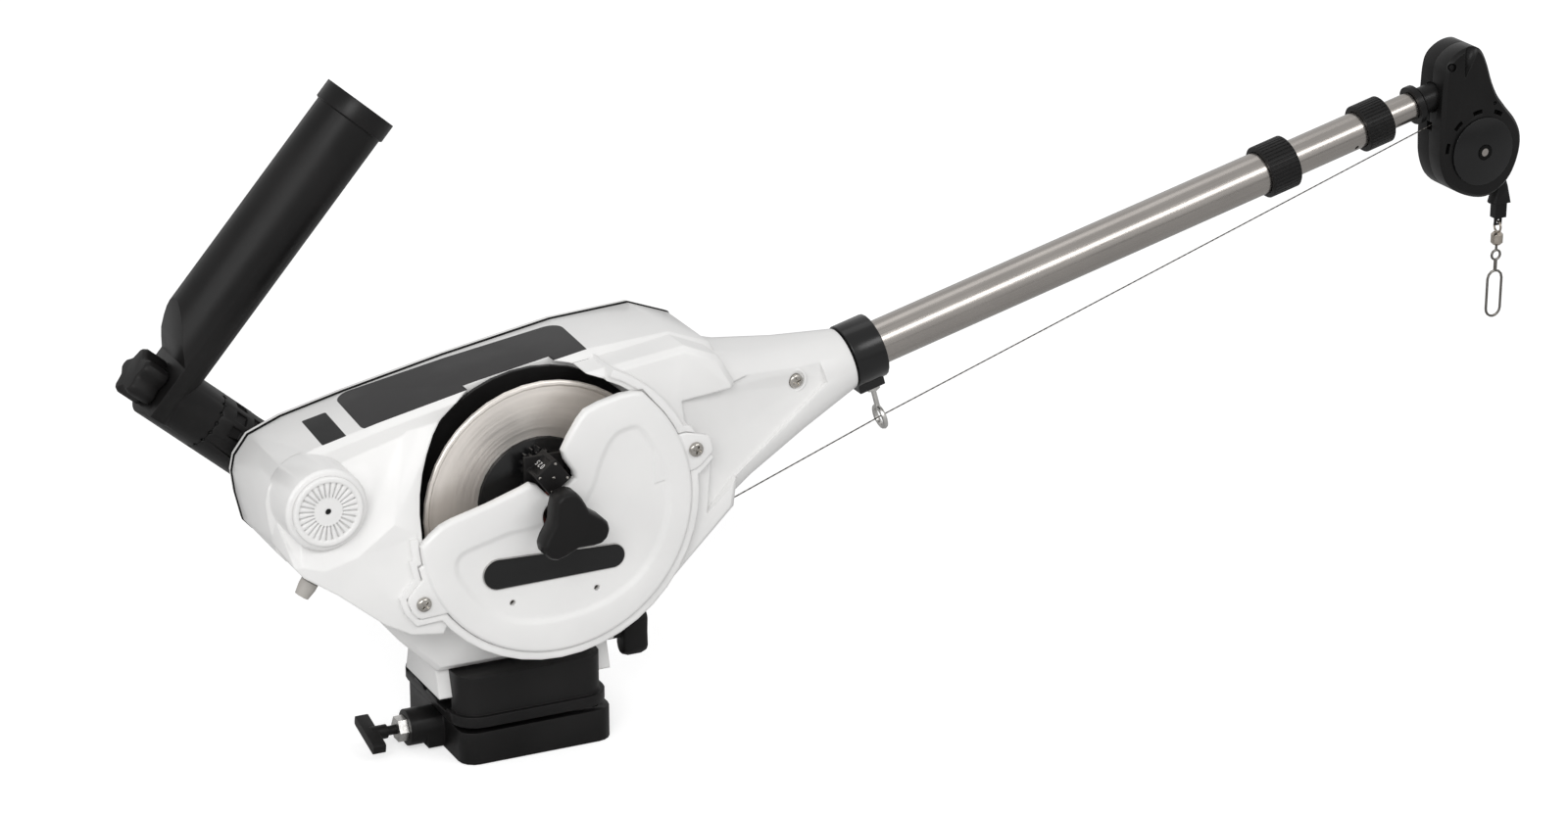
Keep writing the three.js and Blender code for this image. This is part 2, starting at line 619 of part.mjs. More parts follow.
function swivelTrack() {
  const outline = roundedRectangle(TRACK.left, TRACK.right, TRACK.front, TRACK.back, TRACK.corner, 5);
  const block = alongZ(outline, TRACK.bottom, TRACK.top);
  const lip = alongZ(inset(outline, -LIP.proud), TRACK.bottom, TRACK.bottom + LIP.height);
  const ringBottom = PLATE.wellFloor + RUNNING_GAP;
  const toothedRing = barZ(0, 0, TRACK.ringRadius, ringBottom, TRACK.bottom + ROOT, 48);
  const halfAt = (z) => SLOT.floorHalf - ((z - SLOT.floor) * (SLOT.floorHalf - SLOT.mouthHalf)) / (TRACK.top - SLOT.floor);
  const slotTop = TRACK.top + ROOT;
  const slotSection = [
    [SLOT.y - SLOT.floorHalf, SLOT.floor], [SLOT.y + SLOT.floorHalf, SLOT.floor],
    [SLOT.y + halfAt(slotTop), slotTop], [SLOT.y - halfAt(slotTop), slotTop],
  ];
  const slot = alongX(slotSection, TRACK.left - OVERRUN, TRACK.right + OVERRUN);
  const pivotBore = barZ(0, 0, PIVOT.radius + RUNNING_GAP, 0, TRACK.top, 16);
  const headSink = barZ(0, 0, PIVOT.sinkRadius, SLOT.floor - 2 * SEAT_GAP - PIVOT.headHeight, SLOT.floor + ROOT, 24);
  const pockets = [END_POCKET.front, END_POCKET.back].map((y) => {
    const [left, right] = [y - END_POCKET.width / 2, y + END_POCKET.width / 2];
    const [low, high] = [END_POCKET.z - END_POCKET.height / 2, END_POCKET.z + END_POCKET.height / 2];
    const section = roundedRectangle(left, right, low, high, END_POCKET.corner, 1);
    return alongX(section, TRACK.left - OVERRUN, TRACK.left + END_POCKET.depth);
  });
  const eye = barX(END_EYE.y, END_EYE.z, END_EYE.radius, TRACK.left - OVERRUN, TRACK.left + END_EYE.depth, 16);
  return cut(join(block, lip, toothedRing), slot, pivotBore, headSink, eye, ...pockets, ...lockingNotches());
}

// Notches around the ring, each in line with the locking pin when it comes round to it
function lockingNotches() {
  const tipX = -Math.sqrt(TRACK.ringRadius ** 2 - (PIN.y + PIN.radius) ** 2);
  const inner = tipX + PIN.travel + RUNNING_GAP;
  const outline = rectangle(tipX - OVERRUN, inner, PIN.y - NOTCH.width / 2, PIN.y + NOTCH.width / 2);
  return Array.from({ length: NOTCH.count }, (_, i) => {
    const notch = alongZ(outline, 0, TRACK.bottom);
    return notch.rotateZ((2 * Math.PI * i) / NOTCH.count);
  });
}

function pullPin() {
  const half = PLATE.side / 2;
  const tip = -Math.sqrt(TRACK.ringRadius ** 2 - (PIN.y + PIN.radius) ** 2) - 2 * RUNNING_GAP;
  const barMiddle = -half - PIN.bossLength - PIN.nutLength - PIN.standOff - HANDLE.thickness / 2;
  const shank = barX(PIN.y, PIN.z, PIN.radius, barMiddle, tip, 16);
  const collar = barX(PIN.y, PIN.z, PIN.radius + ROOT, barMiddle, barMiddle + PIN.standOff / 2 + HANDLE.thickness / 2, 16);
  const outline = roundedRectangle(
    -HANDLE.width / 2, HANDLE.width / 2, -HANDLE.length / 2, HANDLE.length / 2, HANDLE.width / 4, 2,
  );
  const bar = alongX(outline, -HANDLE.thickness / 2, HANDLE.thickness / 2);
  bar.rotateX(-HANDLE.tilt * DEG).translate(barMiddle, PIN.y, PIN.z);
  return join(shank, collar, bar);
}

function pullPinNut() {
  const face = -PLATE.side / 2 - PIN.bossLength - SEAT_GAP;
  const nut = alongX(shifted(hexagon(PIN.nutAcross), PIN.y, PIN.z), face - PIN.nutLength, face);
  return cut(nut, barX(PIN.y, PIN.z, PIN.radius + SEAT_GAP, face - OVERRUN, face + OVERRUN, 16));
}

function addBase(parent) {
  add(parent, "mount_plate", mountPlate(), finishes.blackPlastic);
  add(parent, "pivot_bolt", pivotBolt(), finishes.stainless);
  add(parent, "swivel_track", swivelTrack(), finishes.blackPlastic);
  add(parent, "pull_pin", pullPin(), finishes.softBlack);
  add(parent, "pull_pin_nut", pullPinNut(), finishes.zinc);
}

// Reel housing

function rimSector(inner, outer, from, to) {
  const steps = 30;
  return [
    ...arcPoints(REEL.x, REEL.z, outer, from, to, steps),
    ...arcPoints(REEL.x, REEL.z, inner, to, from, steps),
  ];
}

// Front surface of the neck and the block it grows from, at a given x
function neckFront(x) {
  const endX = boomPoint(NECK.end).x;
  const endFront = BOOM.y - NECK.endRadius;
  const share = Math.max((x - NECK.start) / (endX - NECK.start), 0);
  return SHELL.blockFront + share * (endFront - SHELL.blockFront);
}

const neckScrewSeat = neckFront(NECK.screwX) + NECK.pocketDepth + ROOT;

// Tapered neck: rounded rectangular root drawn down to a circle round the boom
function neck() {
  const end = boomPoint(NECK.end);
  const rootCentre = new THREE.Vector3(NECK.start, (SHELL.blockFront + NECK.back) / 2, (NECK.top + NECK.bottom) / 2);
  const rootHalves = [(NECK.back - SHELL.blockFront) / 2, (NECK.top - NECK.bottom) / 2];
  const stationShares = [0, 0.3, 0.65, 1];
  const rings = stationShares.map((share) => {
    const centre = rootCentre.clone().lerp(end, share);
    const deep = THREE.MathUtils.lerp(rootHalves[0], NECK.endRadius, share);
    const tall = THREE.MathUtils.lerp(rootHalves[1], NECK.endRadius, share ** 0.75);
    const power = THREE.MathUtils.lerp(0.45, 1, share);
    const lean = boomRise * share;
    return circlePoints(0, 0, 1, 32).map(([u, v]) => {
      const across = deep * Math.sign(u) * Math.abs(u) ** power;
      const up = tall * Math.sign(v) * Math.abs(v) ** power;
      return [centre.x - Math.sin(lean) * up, centre.y + across, centre.z + Math.cos(lean) * up];
    });
  });
  return loft(rings);
}

function neckPocket() {
  const outline = framed(SIDE, POCKET_SHARES);
  const floor = outline.map(([x, z]) => [x, neckFront(x) + NECK.pocketDepth, z]);
  const mouth = outline.map(([x, z]) => [x, SHELL.blockFront - OVERRUN, z]);
  return loft([floor, mouth]);
}

function frontPanel() {
  const root = framed(SIDE, PANEL_ROOT_SHARES).map(([x, z]) => [x, SHELL.bodyFront + SHELL.bevel + ROOT, z]);
  const front = framed(SIDE, PANEL_FRONT_SHARES).map(([x, z]) => [x, SHELL.panelFront, z]);
  return loft([root, front]);
}

// Lug outline that the cover's ear drops into, grown by a margin
function earOutline(shares, margin) {
  return inset(framed(SIDE, shares), -margin);
}

function frontHousing() {
  const bevelRoom = 2 * SHELL.bevel;
  const body = alongY(sideOutline, SHELL.bodyFront, SEAM.front + bevelRoom, SHELL.bevel);
  const block = alongY(framed(SIDE, BLOCK_SHARES), SHELL.blockFront, SEAM.front + bevelRoom, SHELL.bevel);
  const pod = turned([
    [0, SHELL.bodyFront + bevelRoom], [POD.radius, SHELL.bodyFront + bevelRoom], [POD.radius, POD.front + ROOT],
    [POD.radius - ROOT, POD.front], [0, POD.front],
  ], 40).translate(MOTOR.x, 0, MOTOR.z);
  const rim = alongY(
    rimSector(WELL.radius - ROOT, WELL.rimRadius, RIM.startAngle, RIM.endAngle), WELL.rimFront, SHELL.bodyFront + bevelRoom,
  );
  const pads = [RIGHT_EAR_SHARES, LEFT_EAR_SHARES].map((shares) => {
    return alongY(earOutline(shares, EAR.margin), WELL.rimFront, SHELL.bodyFront + bevelRoom);
  });
  const tongueSection = [
    [SLOT.y - FOOT.floorHalf, FOOT.tongueBottom], [SLOT.y + FOOT.floorHalf, FOOT.tongueBottom],
    [SLOT.y + FOOT.mouthHalf, FOOT.tongueTop], [SLOT.y - FOOT.mouthHalf, FOOT.tongueTop],
  ];
  const tongue = alongX(tongueSection, FOOT.left, FOOT.right);
  const outside = join(body, block, pod, rim, ...pads, neck(), frontPanel(), tongue);
  const hollow = cut(cut(outside, behind(SEAM.front)), gearCavity(), ...reelWell(), motorPocket());
  const bosses = [REEL, reductionAxis, idlerAxis].map((axis, i) => {
    const radius = i === 0 ? BEARING.outer + AXLE.bossRise : AXLE.bossRadius;
    return barY(axis.x, axis.z, radius, SHELL.floorBack - ROOT, SHELL.floorBack + AXLE.bossRise, 24);
  });
  return cut(join(hollow, ...bosses), ...housingHoles(), neckPocket());
}

function gearCavity() {
  const room = alongY(inset(sideOutline, SHELL.wall), SHELL.floorBack, SEAM.front + OVERRUN);
  const beyond = rectangle(CAVITY.right, CAVITY.right + SIDE.width, 0, 4 * SIDE.height);
  return cut(room, alongY(beyond, SHELL.floorBack - OVERRUN, SEAM.front + 2 * OVERRUN));
}

function reelWell() {
  const front = WELL.rimFront - OVERRUN;
  const well = barY(REEL.x, REEL.z, WELL.radius, front, WELL.floor, 48);
  const ledge = barY(REEL.x, REEL.z, WELL.ledgeRadius, front, WELL.ledge, 48);
  const coverSeat = alongY(inset(coverOutline(), -2 * SEAT_GAP), front, WELL.ledge);
  const seats = [RIGHT_EAR_SHARES, LEFT_EAR_SHARES].map((shares) => {
    return alongY(earOutline(shares, 2 * SEAT_GAP), front, EAR.face + EAR.sheet + SEAT_GAP);
  });
  return [well, ledge, coverSeat, ...seats];
}

function motorPocket() {
  const radius = MOTOR.radius + POD.pocketGap;
  return barY(MOTOR.x, MOTOR.z, radius, MOTOR.front - POD.pocketGap, MOTOR.back + ROOT, 32);
}

function housingHoles() {
  const holes = [
    barY(REEL.x, REEL.z, BEARING.outer + SEAT_GAP, SHELL.floorBack - ROOT - SEAT_GAP, SEAM.front, 28),
    barY(REEL.x, REEL.z, SHAFT.radius + RUNNING_GAP, WELL.floor - OVERRUN, SEAM.front, 24),
    barY(EAR_SCREWS.rightX, EAR_SCREWS.rightZ, SCREW.shankRadius + SEAT_GAP, EAR.face, EAR.face + EAR.sheet + SCREW.shankLength, 16),
    barY(EAR_SCREWS.leftX, EAR_SCREWS.leftZ, SCREW.shankRadius + SEAT_GAP, EAR.face, EAR.face + EAR.sheet + SCREW.shankLength, 16),
  ];
  for (const axis of [reductionAxis, idlerAxis]) {
    holes.push(barY(axis.x, axis.z, AXLE.radius + SEAT_GAP, AXLE.front - SEAT_GAP, SEAM.front, 16));
  }
  const neckHole = neckScrewSeat + SCREW.shankLength + SEAT_GAP;
  holes.push(barY(NECK.screwX, NECK.screwZ, SCREW.headRadius + RUNNING_GAP, neckScrewSeat - OVERRUN, neckScrewSeat, 16));
  holes.push(barY(NECK.screwX, NECK.screwZ, SCREW.shankRadius + SEAT_GAP, neckScrewSeat - OVERRUN, neckHole, 16));
  const boomBore = turned([
    [0, OUTER.start - SEAT_GAP], [OUTER.radius + SEAT_GAP, OUTER.start - SEAT_GAP],
    [OUTER.radius + SEAT_GAP, NECK.end + OVERRUN], [0, NECK.end + OVERRUN],
  ], 24);
  holes.push(boomBore.applyMatrix4(boomFrame));
  holes.push(barX(WING.y, WING.z, WING.shankRadius + RUNNING_GAP, WING.start - WING.shankLength - ROOT, WING.start + OVERRUN, 16));
  holes.push(bootAligned(barY(0, 0, BOOT.stemRadius + SEAT_GAP, -BOOT.stemLength - BOOT.travel - ROOT, OVERRUN, 20)));
  holes.push(tube([cableStart.toArray(), cableEye.toArray()], CABLE.radius + 5 * RUNNING_GAP, 8));
  return holes;
}

// Breaker boot's frame: local Y points down and out, square to the housing's sloping heel
function bootAligned(geometry) {
  const [from, to] = [sideOutline.at(-4), sideOutline.at(-5)];
  const slope = new THREE.Vector2(from[0] - to[0], from[1] - to[1]).normalize();
  const out = new THREE.Vector3(slope.y, 0, -slope.x);
  const frame = new THREE.Matrix4().makeBasis(new THREE.Vector3(0, 1, 0), out, new THREE.Vector3(0, 1, 0).cross(out));
  return geometry.applyMatrix4(frame.setPosition(BOOT.x, BOOT.y, BOOT.z));
}

function breakerBoot() {
  return bootAligned(turned([
    [0, -BOOT.stemLength], [BOOT.stemRadius, -BOOT.stemLength], [BOOT.stemRadius, BOOT.skirt],
    [BOOT.radius, BOOT.skirt], [BOOT.radius, BOOT.length / 2], [BOOT.tipRadius, BOOT.length], [0, BOOT.length],
  ], 20));
}

function backCover() {
  const deep = SEAM.coverBack - SEAM.back;
  const outer = cut(alongY(sideOutline, SEAM.back - deep, SEAM.coverBack, SHELL.bevel), inFrontOf(SEAM.back));
  const hollow = cut(outer, alongY(inset(sideOutline, SHELL.wall), SEAM.back - OVERRUN, SEAM.coverBack - SHELL.wall));
  const bosses = [REEL, reductionAxis].map((axis, i) => {
    const radius = i === 0 ? BEARING.outer + AXLE.bossRise : AXLE.bossRadius;
    return barY(axis.x, axis.z, radius, SEAM.back, SEAM.coverBack - ROOT, 24);
  });
  const socket = barY(0, 0, SOCKET.radius, SOCKET.start, SOCKET.end, 32).applyMatrix4(armFrame);
  const saddle = new THREE.ExtrudeGeometry(
    polygon(rectangle(-(ARM.y - SEAM.coverBack) - ROOT, 0, SOCKET.start, SOCKET.end)),
    { depth: 2 * SOCKET.radius, bevelEnabled: false },
  ).translate(0, 0, -SOCKET.radius).applyMatrix4(armFrame);
  const socketBore = barY(0, 0, ARM.spigotRadius + SEAT_GAP, ARM.spigotStart - SEAT_GAP, SOCKET.end + OVERRUN, 36);
  const holes = [
    barY(REEL.x, REEL.z, BEARING.outer + SEAT_GAP, SEAM.back - ROOT, SEAM.back + BEARING.width, 28),
    barY(REEL.x, REEL.z, SHAFT.radius + RUNNING_GAP, SEAM.back - ROOT, SHAFT.back + SEAT_GAP, 24),
    socketBore.applyMatrix4(armFrame),
  ];
  holes.push(barY(reductionAxis.x, reductionAxis.z, AXLE.radius + SEAT_GAP, SEAM.front, AXLE.back + SEAT_GAP, 16));
  return cut(join(hollow, ...bosses, socket, saddle), ...holes);
}

function seamGasket() {
  const band = alongY(sideOutline, SEAM.gasketFront, SEAM.gasketBack);
  return cut(band, alongY(inset(sideOutline, SHELL.wall), SEAM.front - OVERRUN, SEAM.back + OVERRUN));
}

function motorCap() {
  const face = CAP.back - CAP.thickness;
  const dish = turned([
    [0, CAP.back], [CAP.radius, CAP.back], [CAP.radius, face], [CAP.finOuter, face],
    [CAP.finOuter - ROOT / 2, face + CAP.finRise / 2], [CAP.finInner, face + CAP.finRise / 2],
    [CAP.finInner - ROOT / 2, face], [0, face],
  ], 30);
  const fins = [];
  for (let i = 0; i < CAP.fins; i += 1) {
    const blade = alongY(
      rectangle(CAP.finInner - ROOT, CAP.finOuter + ROOT / 2, -CAP.finRise / 4, CAP.finRise / 4), face, CAP.back - ROOT / 2,
    );
    fins.push(blade.rotateY(-(2 * Math.PI * i) / CAP.fins));
  }
  const cap = cut(join(dish, ...fins), barY(0, 0, CAP.hole, face - OVERRUN, CAP.back + OVERRUN, 12));
  return toGeometry(cap).translate(MOTOR.x, 0, MOTOR.z);
}

// Reel cover: a dished plate with screw ears, a return lip and the notch for the counter
function coverOutline() {
  const arc = arcPoints(REEL.x, REEL.z, COVER.radius, COVER_ARC.startAngle, COVER_ARC.endAngle, 32);
  return [...arc, ...framed(SIDE, COVER_TOP_SHARES)];
}

function reelCover() {
  const outline = coverOutline();
  const inner = COVER.face + COVER.sheet;
  const skirtBack = WELL.ledge - SEAT_GAP;
  const lipBack = skirtBack + COVER.lipDepth / 2;
  const hollow = alongY(inset(outline, COVER.sheet), inner, lipBack + OVERRUN);
  const skirt = alongY(outline, COVER.face, skirtBack);
  const lip = keep(
    alongY(outline, inner, lipBack), barY(REEL.x, REEL.z, WELL.radius - ROOT, COVER.face, lipBack, 48),
  );
  const ears = [RIGHT_EAR_SHARES, LEFT_EAR_SHARES].map((shares) => {
    return alongY(framed(SIDE, shares), EAR.face, EAR.face + EAR.sheet);
  });
  const panel = alongY(framed(SIDE, PANEL_RISE_SHARES), COVER.face - COVER.panelRise, COVER.face + ROOT, COVER.panelRise / 2);
  const holes = [
    barY(REEL.x, REEL.z, COVER.knobHole, COVER.face - OVERRUN, lipBack + OVERRUN, 32),
    barY(EAR_SCREWS.rightX, EAR_SCREWS.rightZ, SCREW.shankRadius + SEAT_GAP, COVER.face - OVERRUN, lipBack, 16),
    barY(EAR_SCREWS.leftX, EAR_SCREWS.leftZ, SCREW.shankRadius + SEAT_GAP, COVER.face - OVERRUN, lipBack, 16),
  ];
  for (const side of [-1, 1]) {
    const x = REEL.x + side * COVER.drainSpread;
    holes.push(barY(x, REEL.z - COVER.drainDrop, COVER.drainHole, COVER.face - OVERRUN, lipBack, 10));
  }
  return cut(join(cut(join(skirt, lip), hollow), ...ears, panel), ...holes);
}

function wingKnob() {
  const outline = lobedOutline(2, WING.tipRadius, WING.lobeRadius, WING.waistRadius, 90);
  const inner = inset(outline, ROOT);
  const [start, end] = [WING.start, WING.end];
  const edge = (end - start) / 4;
  const skin = [[inner, start], [outline, start + edge], [outline, end - edge], [inner, end]];
  const grip = loft(skin.map(([points, x]) => points.map(([y, z]) => [x, y, z])));
  return join(
    grip.translate(0, WING.y, WING.z),
    barX(WING.y, WING.z, WING.shankRadius, start - WING.shankLength, start + ROOT, 16),
  );
}

function addHousing(parent) {
  add(parent, "front_housing", frontHousing(), finishes.whiteShell);
  add(parent, "back_cover", backCover(), finishes.whiteShell);
  add(parent, "seam_gasket", seamGasket(), finishes.softBlack);
  add(parent, "reel_cover", reelCover(), finishes.whiteShell);
  const screwSeat = EAR.face - SEAT_GAP;
  const right = add(parent, "cover_screw_right", panScrew(screwSeat), finishes.stainless);
  right.position.set(EAR_SCREWS.rightX, 0, EAR_SCREWS.rightZ);
  const left = add(parent, "cover_screw_left", panScrew(screwSeat), finishes.stainless);
  left.position.set(EAR_SCREWS.leftX, 0, EAR_SCREWS.leftZ);
  const neckScrew = add(parent, "neck_screw", panScrew(neckScrewSeat - SEAT_GAP), finishes.stainless);
  neckScrew.position.set(NECK.screwX, 0, NECK.screwZ);
  add(parent, "motor_cap", motorCap(), finishes.whiteShell);
  add(parent, "breaker_boot", breakerBoot(), finishes.greyRubber);
  add(parent, "wing_knob", wingKnob(), finishes.softBlack);
}

// Drive: motor, two reduction stages and the wheel on the reel shaft

function meshedAngle(fromAngle, fromTeeth, from, to, toTeeth) {
  const line = bearingTo(from, to);
  const phase = ((line - fromAngle) * fromTeeth) / 360;
  const share = phase - Math.floor(phase);
  return line + 180 - ((0.5 - share) * 360) / toTeeth;
}

function gearDisc(axis, teeth, toothAngle, front, back, bore) {
  const outline = shifted(gearOutline(teeth, GEAR.module, GEAR.backlash, toothAngle), axis.x, axis.z);
  return cut(alongY(outline, front, back), barY(axis.x, axis.z, bore, front - OVERRUN, back + OVERRUN, 24));
}

function reductionGear(smallAngle) {
  const small = alongY(
    shifted(gearOutline(GEAR.smallWheel, GEAR.module, GEAR.backlash, smallAngle), reductionAxis.x, reductionAxis.z),
    STAGE.secondFront, STAGE.firstFront + ROOT,
  );
  const wheel = alongY(
    shifted(gearOutline(GEAR.wheel, GEAR.module, GEAR.backlash, smallAngle), reductionAxis.x, reductionAxis.z),
    STAGE.firstFront, STAGE.firstBack,
  );
  const bore = barY(reductionAxis.x, reductionAxis.z, AXLE.radius + RUNNING_GAP, WELL.floor, SEAM.coverBack, 16);
  return cut(join(small, wheel), bore);
}

function driveGear() {
  return gearDisc(REEL, GEAR.drive, 0, STAGE.secondFront, STAGE.secondBack, SHAFT.radius + SEAT_GAP);
}

function motor() {
  const shoulder = MOTOR.radius / 3;
  return turned([
    [0, MOTOR.front], [shoulder, MOTOR.front], [shoulder, MOTOR.front + ROOT], [MOTOR.radius, MOTOR.front + ROOT],
    [MOTOR.radius, MOTOR.back - ROOT], [shoulder, MOTOR.back - ROOT], [shoulder, MOTOR.back],
    [MOTOR.shaftRadius, MOTOR.back], [MOTOR.shaftRadius, MOTOR.shaftEnd], [0, MOTOR.shaftEnd],
  ], 20).translate(MOTOR.x, 0, MOTOR.z);
}

function axle(axis, back) {
  return barY(axis.x, axis.z, AXLE.radius, AXLE.front, back, 16);
}

function addDrive(parent) {
  const idlerAngle = meshedAngle(0, GEAR.drive, REEL, idlerAxis, GEAR.idler);
  const smallAngle = meshedAngle(idlerAngle, GEAR.idler, idlerAxis, reductionAxis, GEAR.smallWheel);
  const pinionAngle = meshedAngle(smallAngle, GEAR.wheel, reductionAxis, MOTOR, GEAR.pinion);
  const pinionBore = MOTOR.shaftRadius + SEAT_GAP;
  const axleBore = AXLE.radius + RUNNING_GAP;
  const pinion = gearDisc(MOTOR, GEAR.pinion, pinionAngle, STAGE.firstFront, STAGE.firstBack, pinionBore);
  const idler = gearDisc(idlerAxis, GEAR.idler, idlerAngle, STAGE.secondFront, STAGE.secondBack, axleBore);
  add(parent, "motor", motor(), finishes.steel);
  add(parent, "motor_pinion", pinion, finishes.brass);
  add(parent, "reduction_gear", reductionGear(smallAngle), finishes.whiteGear);
  add(parent, "reduction_axle", axle(reductionAxis, AXLE.back), finishes.steel);
  add(parent, "idler_gear", idler, finishes.whiteGear);
  add(parent, "idler_axle", axle(idlerAxis, AXLE.stubBack), finishes.steel);
  add(parent, "drive_gear", driveGear(), finishes.whiteGear);
}

// Reel: shaft, bearings, drum, front disc, hub, winding, clutch and counter

function spoolShaft() {
  return barY(0, 0, SHAFT.radius, SHAFT.front, SHAFT.back, 24);
}

function bearing(front) {
  return ring(BEARING.inner, BEARING.outer, front, front + BEARING.width, 28);
}

function spoolDrum() {
  const back = FLANGE.face + FLANGE.thickness;
  const bore = SHAFT.radius + SEAT_GAP;
  const clear = DISC.sheet + SEAT_GAP;
  return turned([
    [bore, back], [FLANGE.radius - ROOT / 2, back], [FLANGE.radius, back - ROOT / 2],
    [FLANGE.radius, FLANGE.face], [FLANGE.coreRadius, FLANGE.face], [FLANGE.coreRadius, DISC.dishFace + clear - ROOT / 4],
    [DISC.dishTop, DISC.dishFace + clear], [DISC.dishFoot, DISC.centre + clear], [bore, DISC.centre + clear],
  ], 40);
}

function spoolDisc() {
  const { radius, rimFront, rimWidth, sheet, face, dishTop, dishFace, dishFoot, centre } = DISC;
  const bore = SHAFT.radius + SEAT_GAP;
  return turned([
    [bore, centre + sheet], [dishFoot, centre + sheet], [dishTop, dishFace + sheet], [radius - rimWidth, face + sheet],
    [radius, face + sheet], [radius, rimFront + sheet / 2], [radius - sheet / 2, rimFront], [radius - rimWidth, rimFront],
    [radius - rimWidth - sheet, face], [dishTop, dishFace], [dishFoot, centre], [bore, centre],
  ], 40);
}

function spoolHub() {
  const bore = SHAFT.radius + SEAT_GAP;
  const dome = turned([
    [bore, HUB.back], [HUB.radius, HUB.back], [HUB.radius - ROOT / 2, HUB.back - ROOT], [HUB.shoulder, HUB.step],
    [HUB.crown, HUB.front], [bore, HUB.front],
  ], 30);
  const teeth = gearOutline(COUNT_GEAR.hubTeeth, COUNT_GEAR.module, COUNT_GEAR.backlash, 0);
  const gear = alongY(teeth, COUNT_GEAR.front, HUB.front + ROOT / 2);
  return cut(join(dome, gear), barY(0, 0, bore, COUNT_GEAR.front - ROOT, HUB.back + ROOT, 24));
}

// The outer layer of cable, one unbroken helix that ends where the line leaves the drum
function cableWinding() {
  const steps = CABLE.loops * WIND_STEPS;
  const points = Array.from({ length: steps + 1 }, (_, i) => {
    const turn = cableAngle - (2 * Math.PI * (steps - i)) / WIND_STEPS;
    const y = CABLE.lastTurn - (CABLE.pitch * (steps - i)) / WIND_STEPS;
    return [CABLE.windRadius * Math.cos(turn), y, CABLE.windRadius * Math.sin(turn)];
  });
  reportLeastGap("cable_winding", points, CABLE.radius, WIND_STEPS / 2);
  return tube(points, CABLE.radius, WIND_SIDES);
}

// Prints the least clear distance between stretches that lie further apart than the given steps
function reportLeastGap(name, points, radius, apart) {
  const places = points.map((point) => new THREE.Vector3(...point));
  let least = Infinity;
  for (let i = 0; i < places.length; i += 1) {
    for (let j = i + apart; j < places.length; j += 1) {
      least = Math.min(least, places[i].distanceTo(places[j]));
    }
  }
  console.log(`${name}: least gap ${(least - 2 * radius).toFixed(2)} mm`);
}

function clutchDisc() {
  return ring(SHAFT.radius + SEAT_GAP, CLUTCH.discRadius, CLUTCH.discFront, CLUTCH.discBack, 24);
}

function clutchKnob() {
  const outline = lobedOutline(3, STAR.tipRadius, STAR.lobeRadius, STAR.waistRadius, STAR_ANGLE);
  const inner = inset(outline, STAR.edge / 2);
  const skin = [[inner, STAR.back], [outline, STAR.back - STAR.edge], [outline, STAR.front + STAR.edge], [inner, STAR.front]];
  const grip = loft(skin.map(([points, y]) => points.map(([x, z]) => [x, y, z])));
  const stem = barY(0, 0, CLUTCH.stemRadius, STAR.back - ROOT, CLUTCH.discFront - SEAT_GAP, 24);
  const bore = barY(0, 0, SHAFT.radius + SEAT_GAP, SHAFT.front - SEAT_GAP, CLUTCH.discFront + OVERRUN, 24);
  return cut(join(grip, stem), bore);
}

const counterReach = ((COUNT_GEAR.hubTeeth + COUNT_GEAR.wheelTeeth) * COUNT_GEAR.module) / 2 + COUNT_GEAR.backlash / 2;
const counterAxis = {
  x: REEL.x + counterReach * Math.cos(COUNTER.direction * DEG),
  z: REEL.z + counterReach * Math.sin(COUNTER.direction * DEG),
};

function counterBody() {
  const diagonal = COUNTER.side / Math.SQRT2;
  const box = alongY(circlePoints(0, 0, diagonal, 4, COUNTER.angle + 45), COUNTER.front, COUNTER.back);
  const lipBack = WELL.ledge - SEAT_GAP + COVER.lipDepth / 2;
  const [tabHalf, tabRise] = [COUNTER.tabWidth / 2, COUNTER.tabHeight / 2];
  const tab = alongY(rectangle(-tabHalf, tabHalf, -tabRise, tabRise), lipBack + SEAT_GAP, lipBack + SEAT_GAP + COVER.sheet);
  const window = alongY(
    rectangle(-COUNTER.side / 3, COUNTER.side / 3, COUNTER.side / 2 - ROOT / 2, COUNTER.side), COUNTER.front + 2 * ROOT,
    COUNTER.back - 4 * ROOT,
  ).rotateY(-COUNTER.angle * DEG);
  const bore = barY(0, 0, COUNTER.pinRadius + SEAT_GAP, COUNTER.back - 4 * ROOT, COUNTER.back + OVERRUN, 12);
  return toGeometry(cut(join(box, tab), window, bore)).translate(counterAxis.x, 0, counterAxis.z);
}

function counterGear() {
  const angle = meshedAngle(0, COUNT_GEAR.hubTeeth, REEL, counterAxis, COUNT_GEAR.wheelTeeth);
  const teeth = gearOutline(COUNT_GEAR.wheelTeeth, COUNT_GEAR.module, COUNT_GEAR.backlash, angle);
  const wheel = alongY(teeth, COUNT_GEAR.front, COUNT_GEAR.back);
  const pin = barY(0, 0, COUNTER.pinRadius, COUNTER.back - 3 * ROOT, COUNT_GEAR.front + ROOT, 12);
  return toGeometry(join(wheel, pin)).translate(counterAxis.x, 0, counterAxis.z);
}

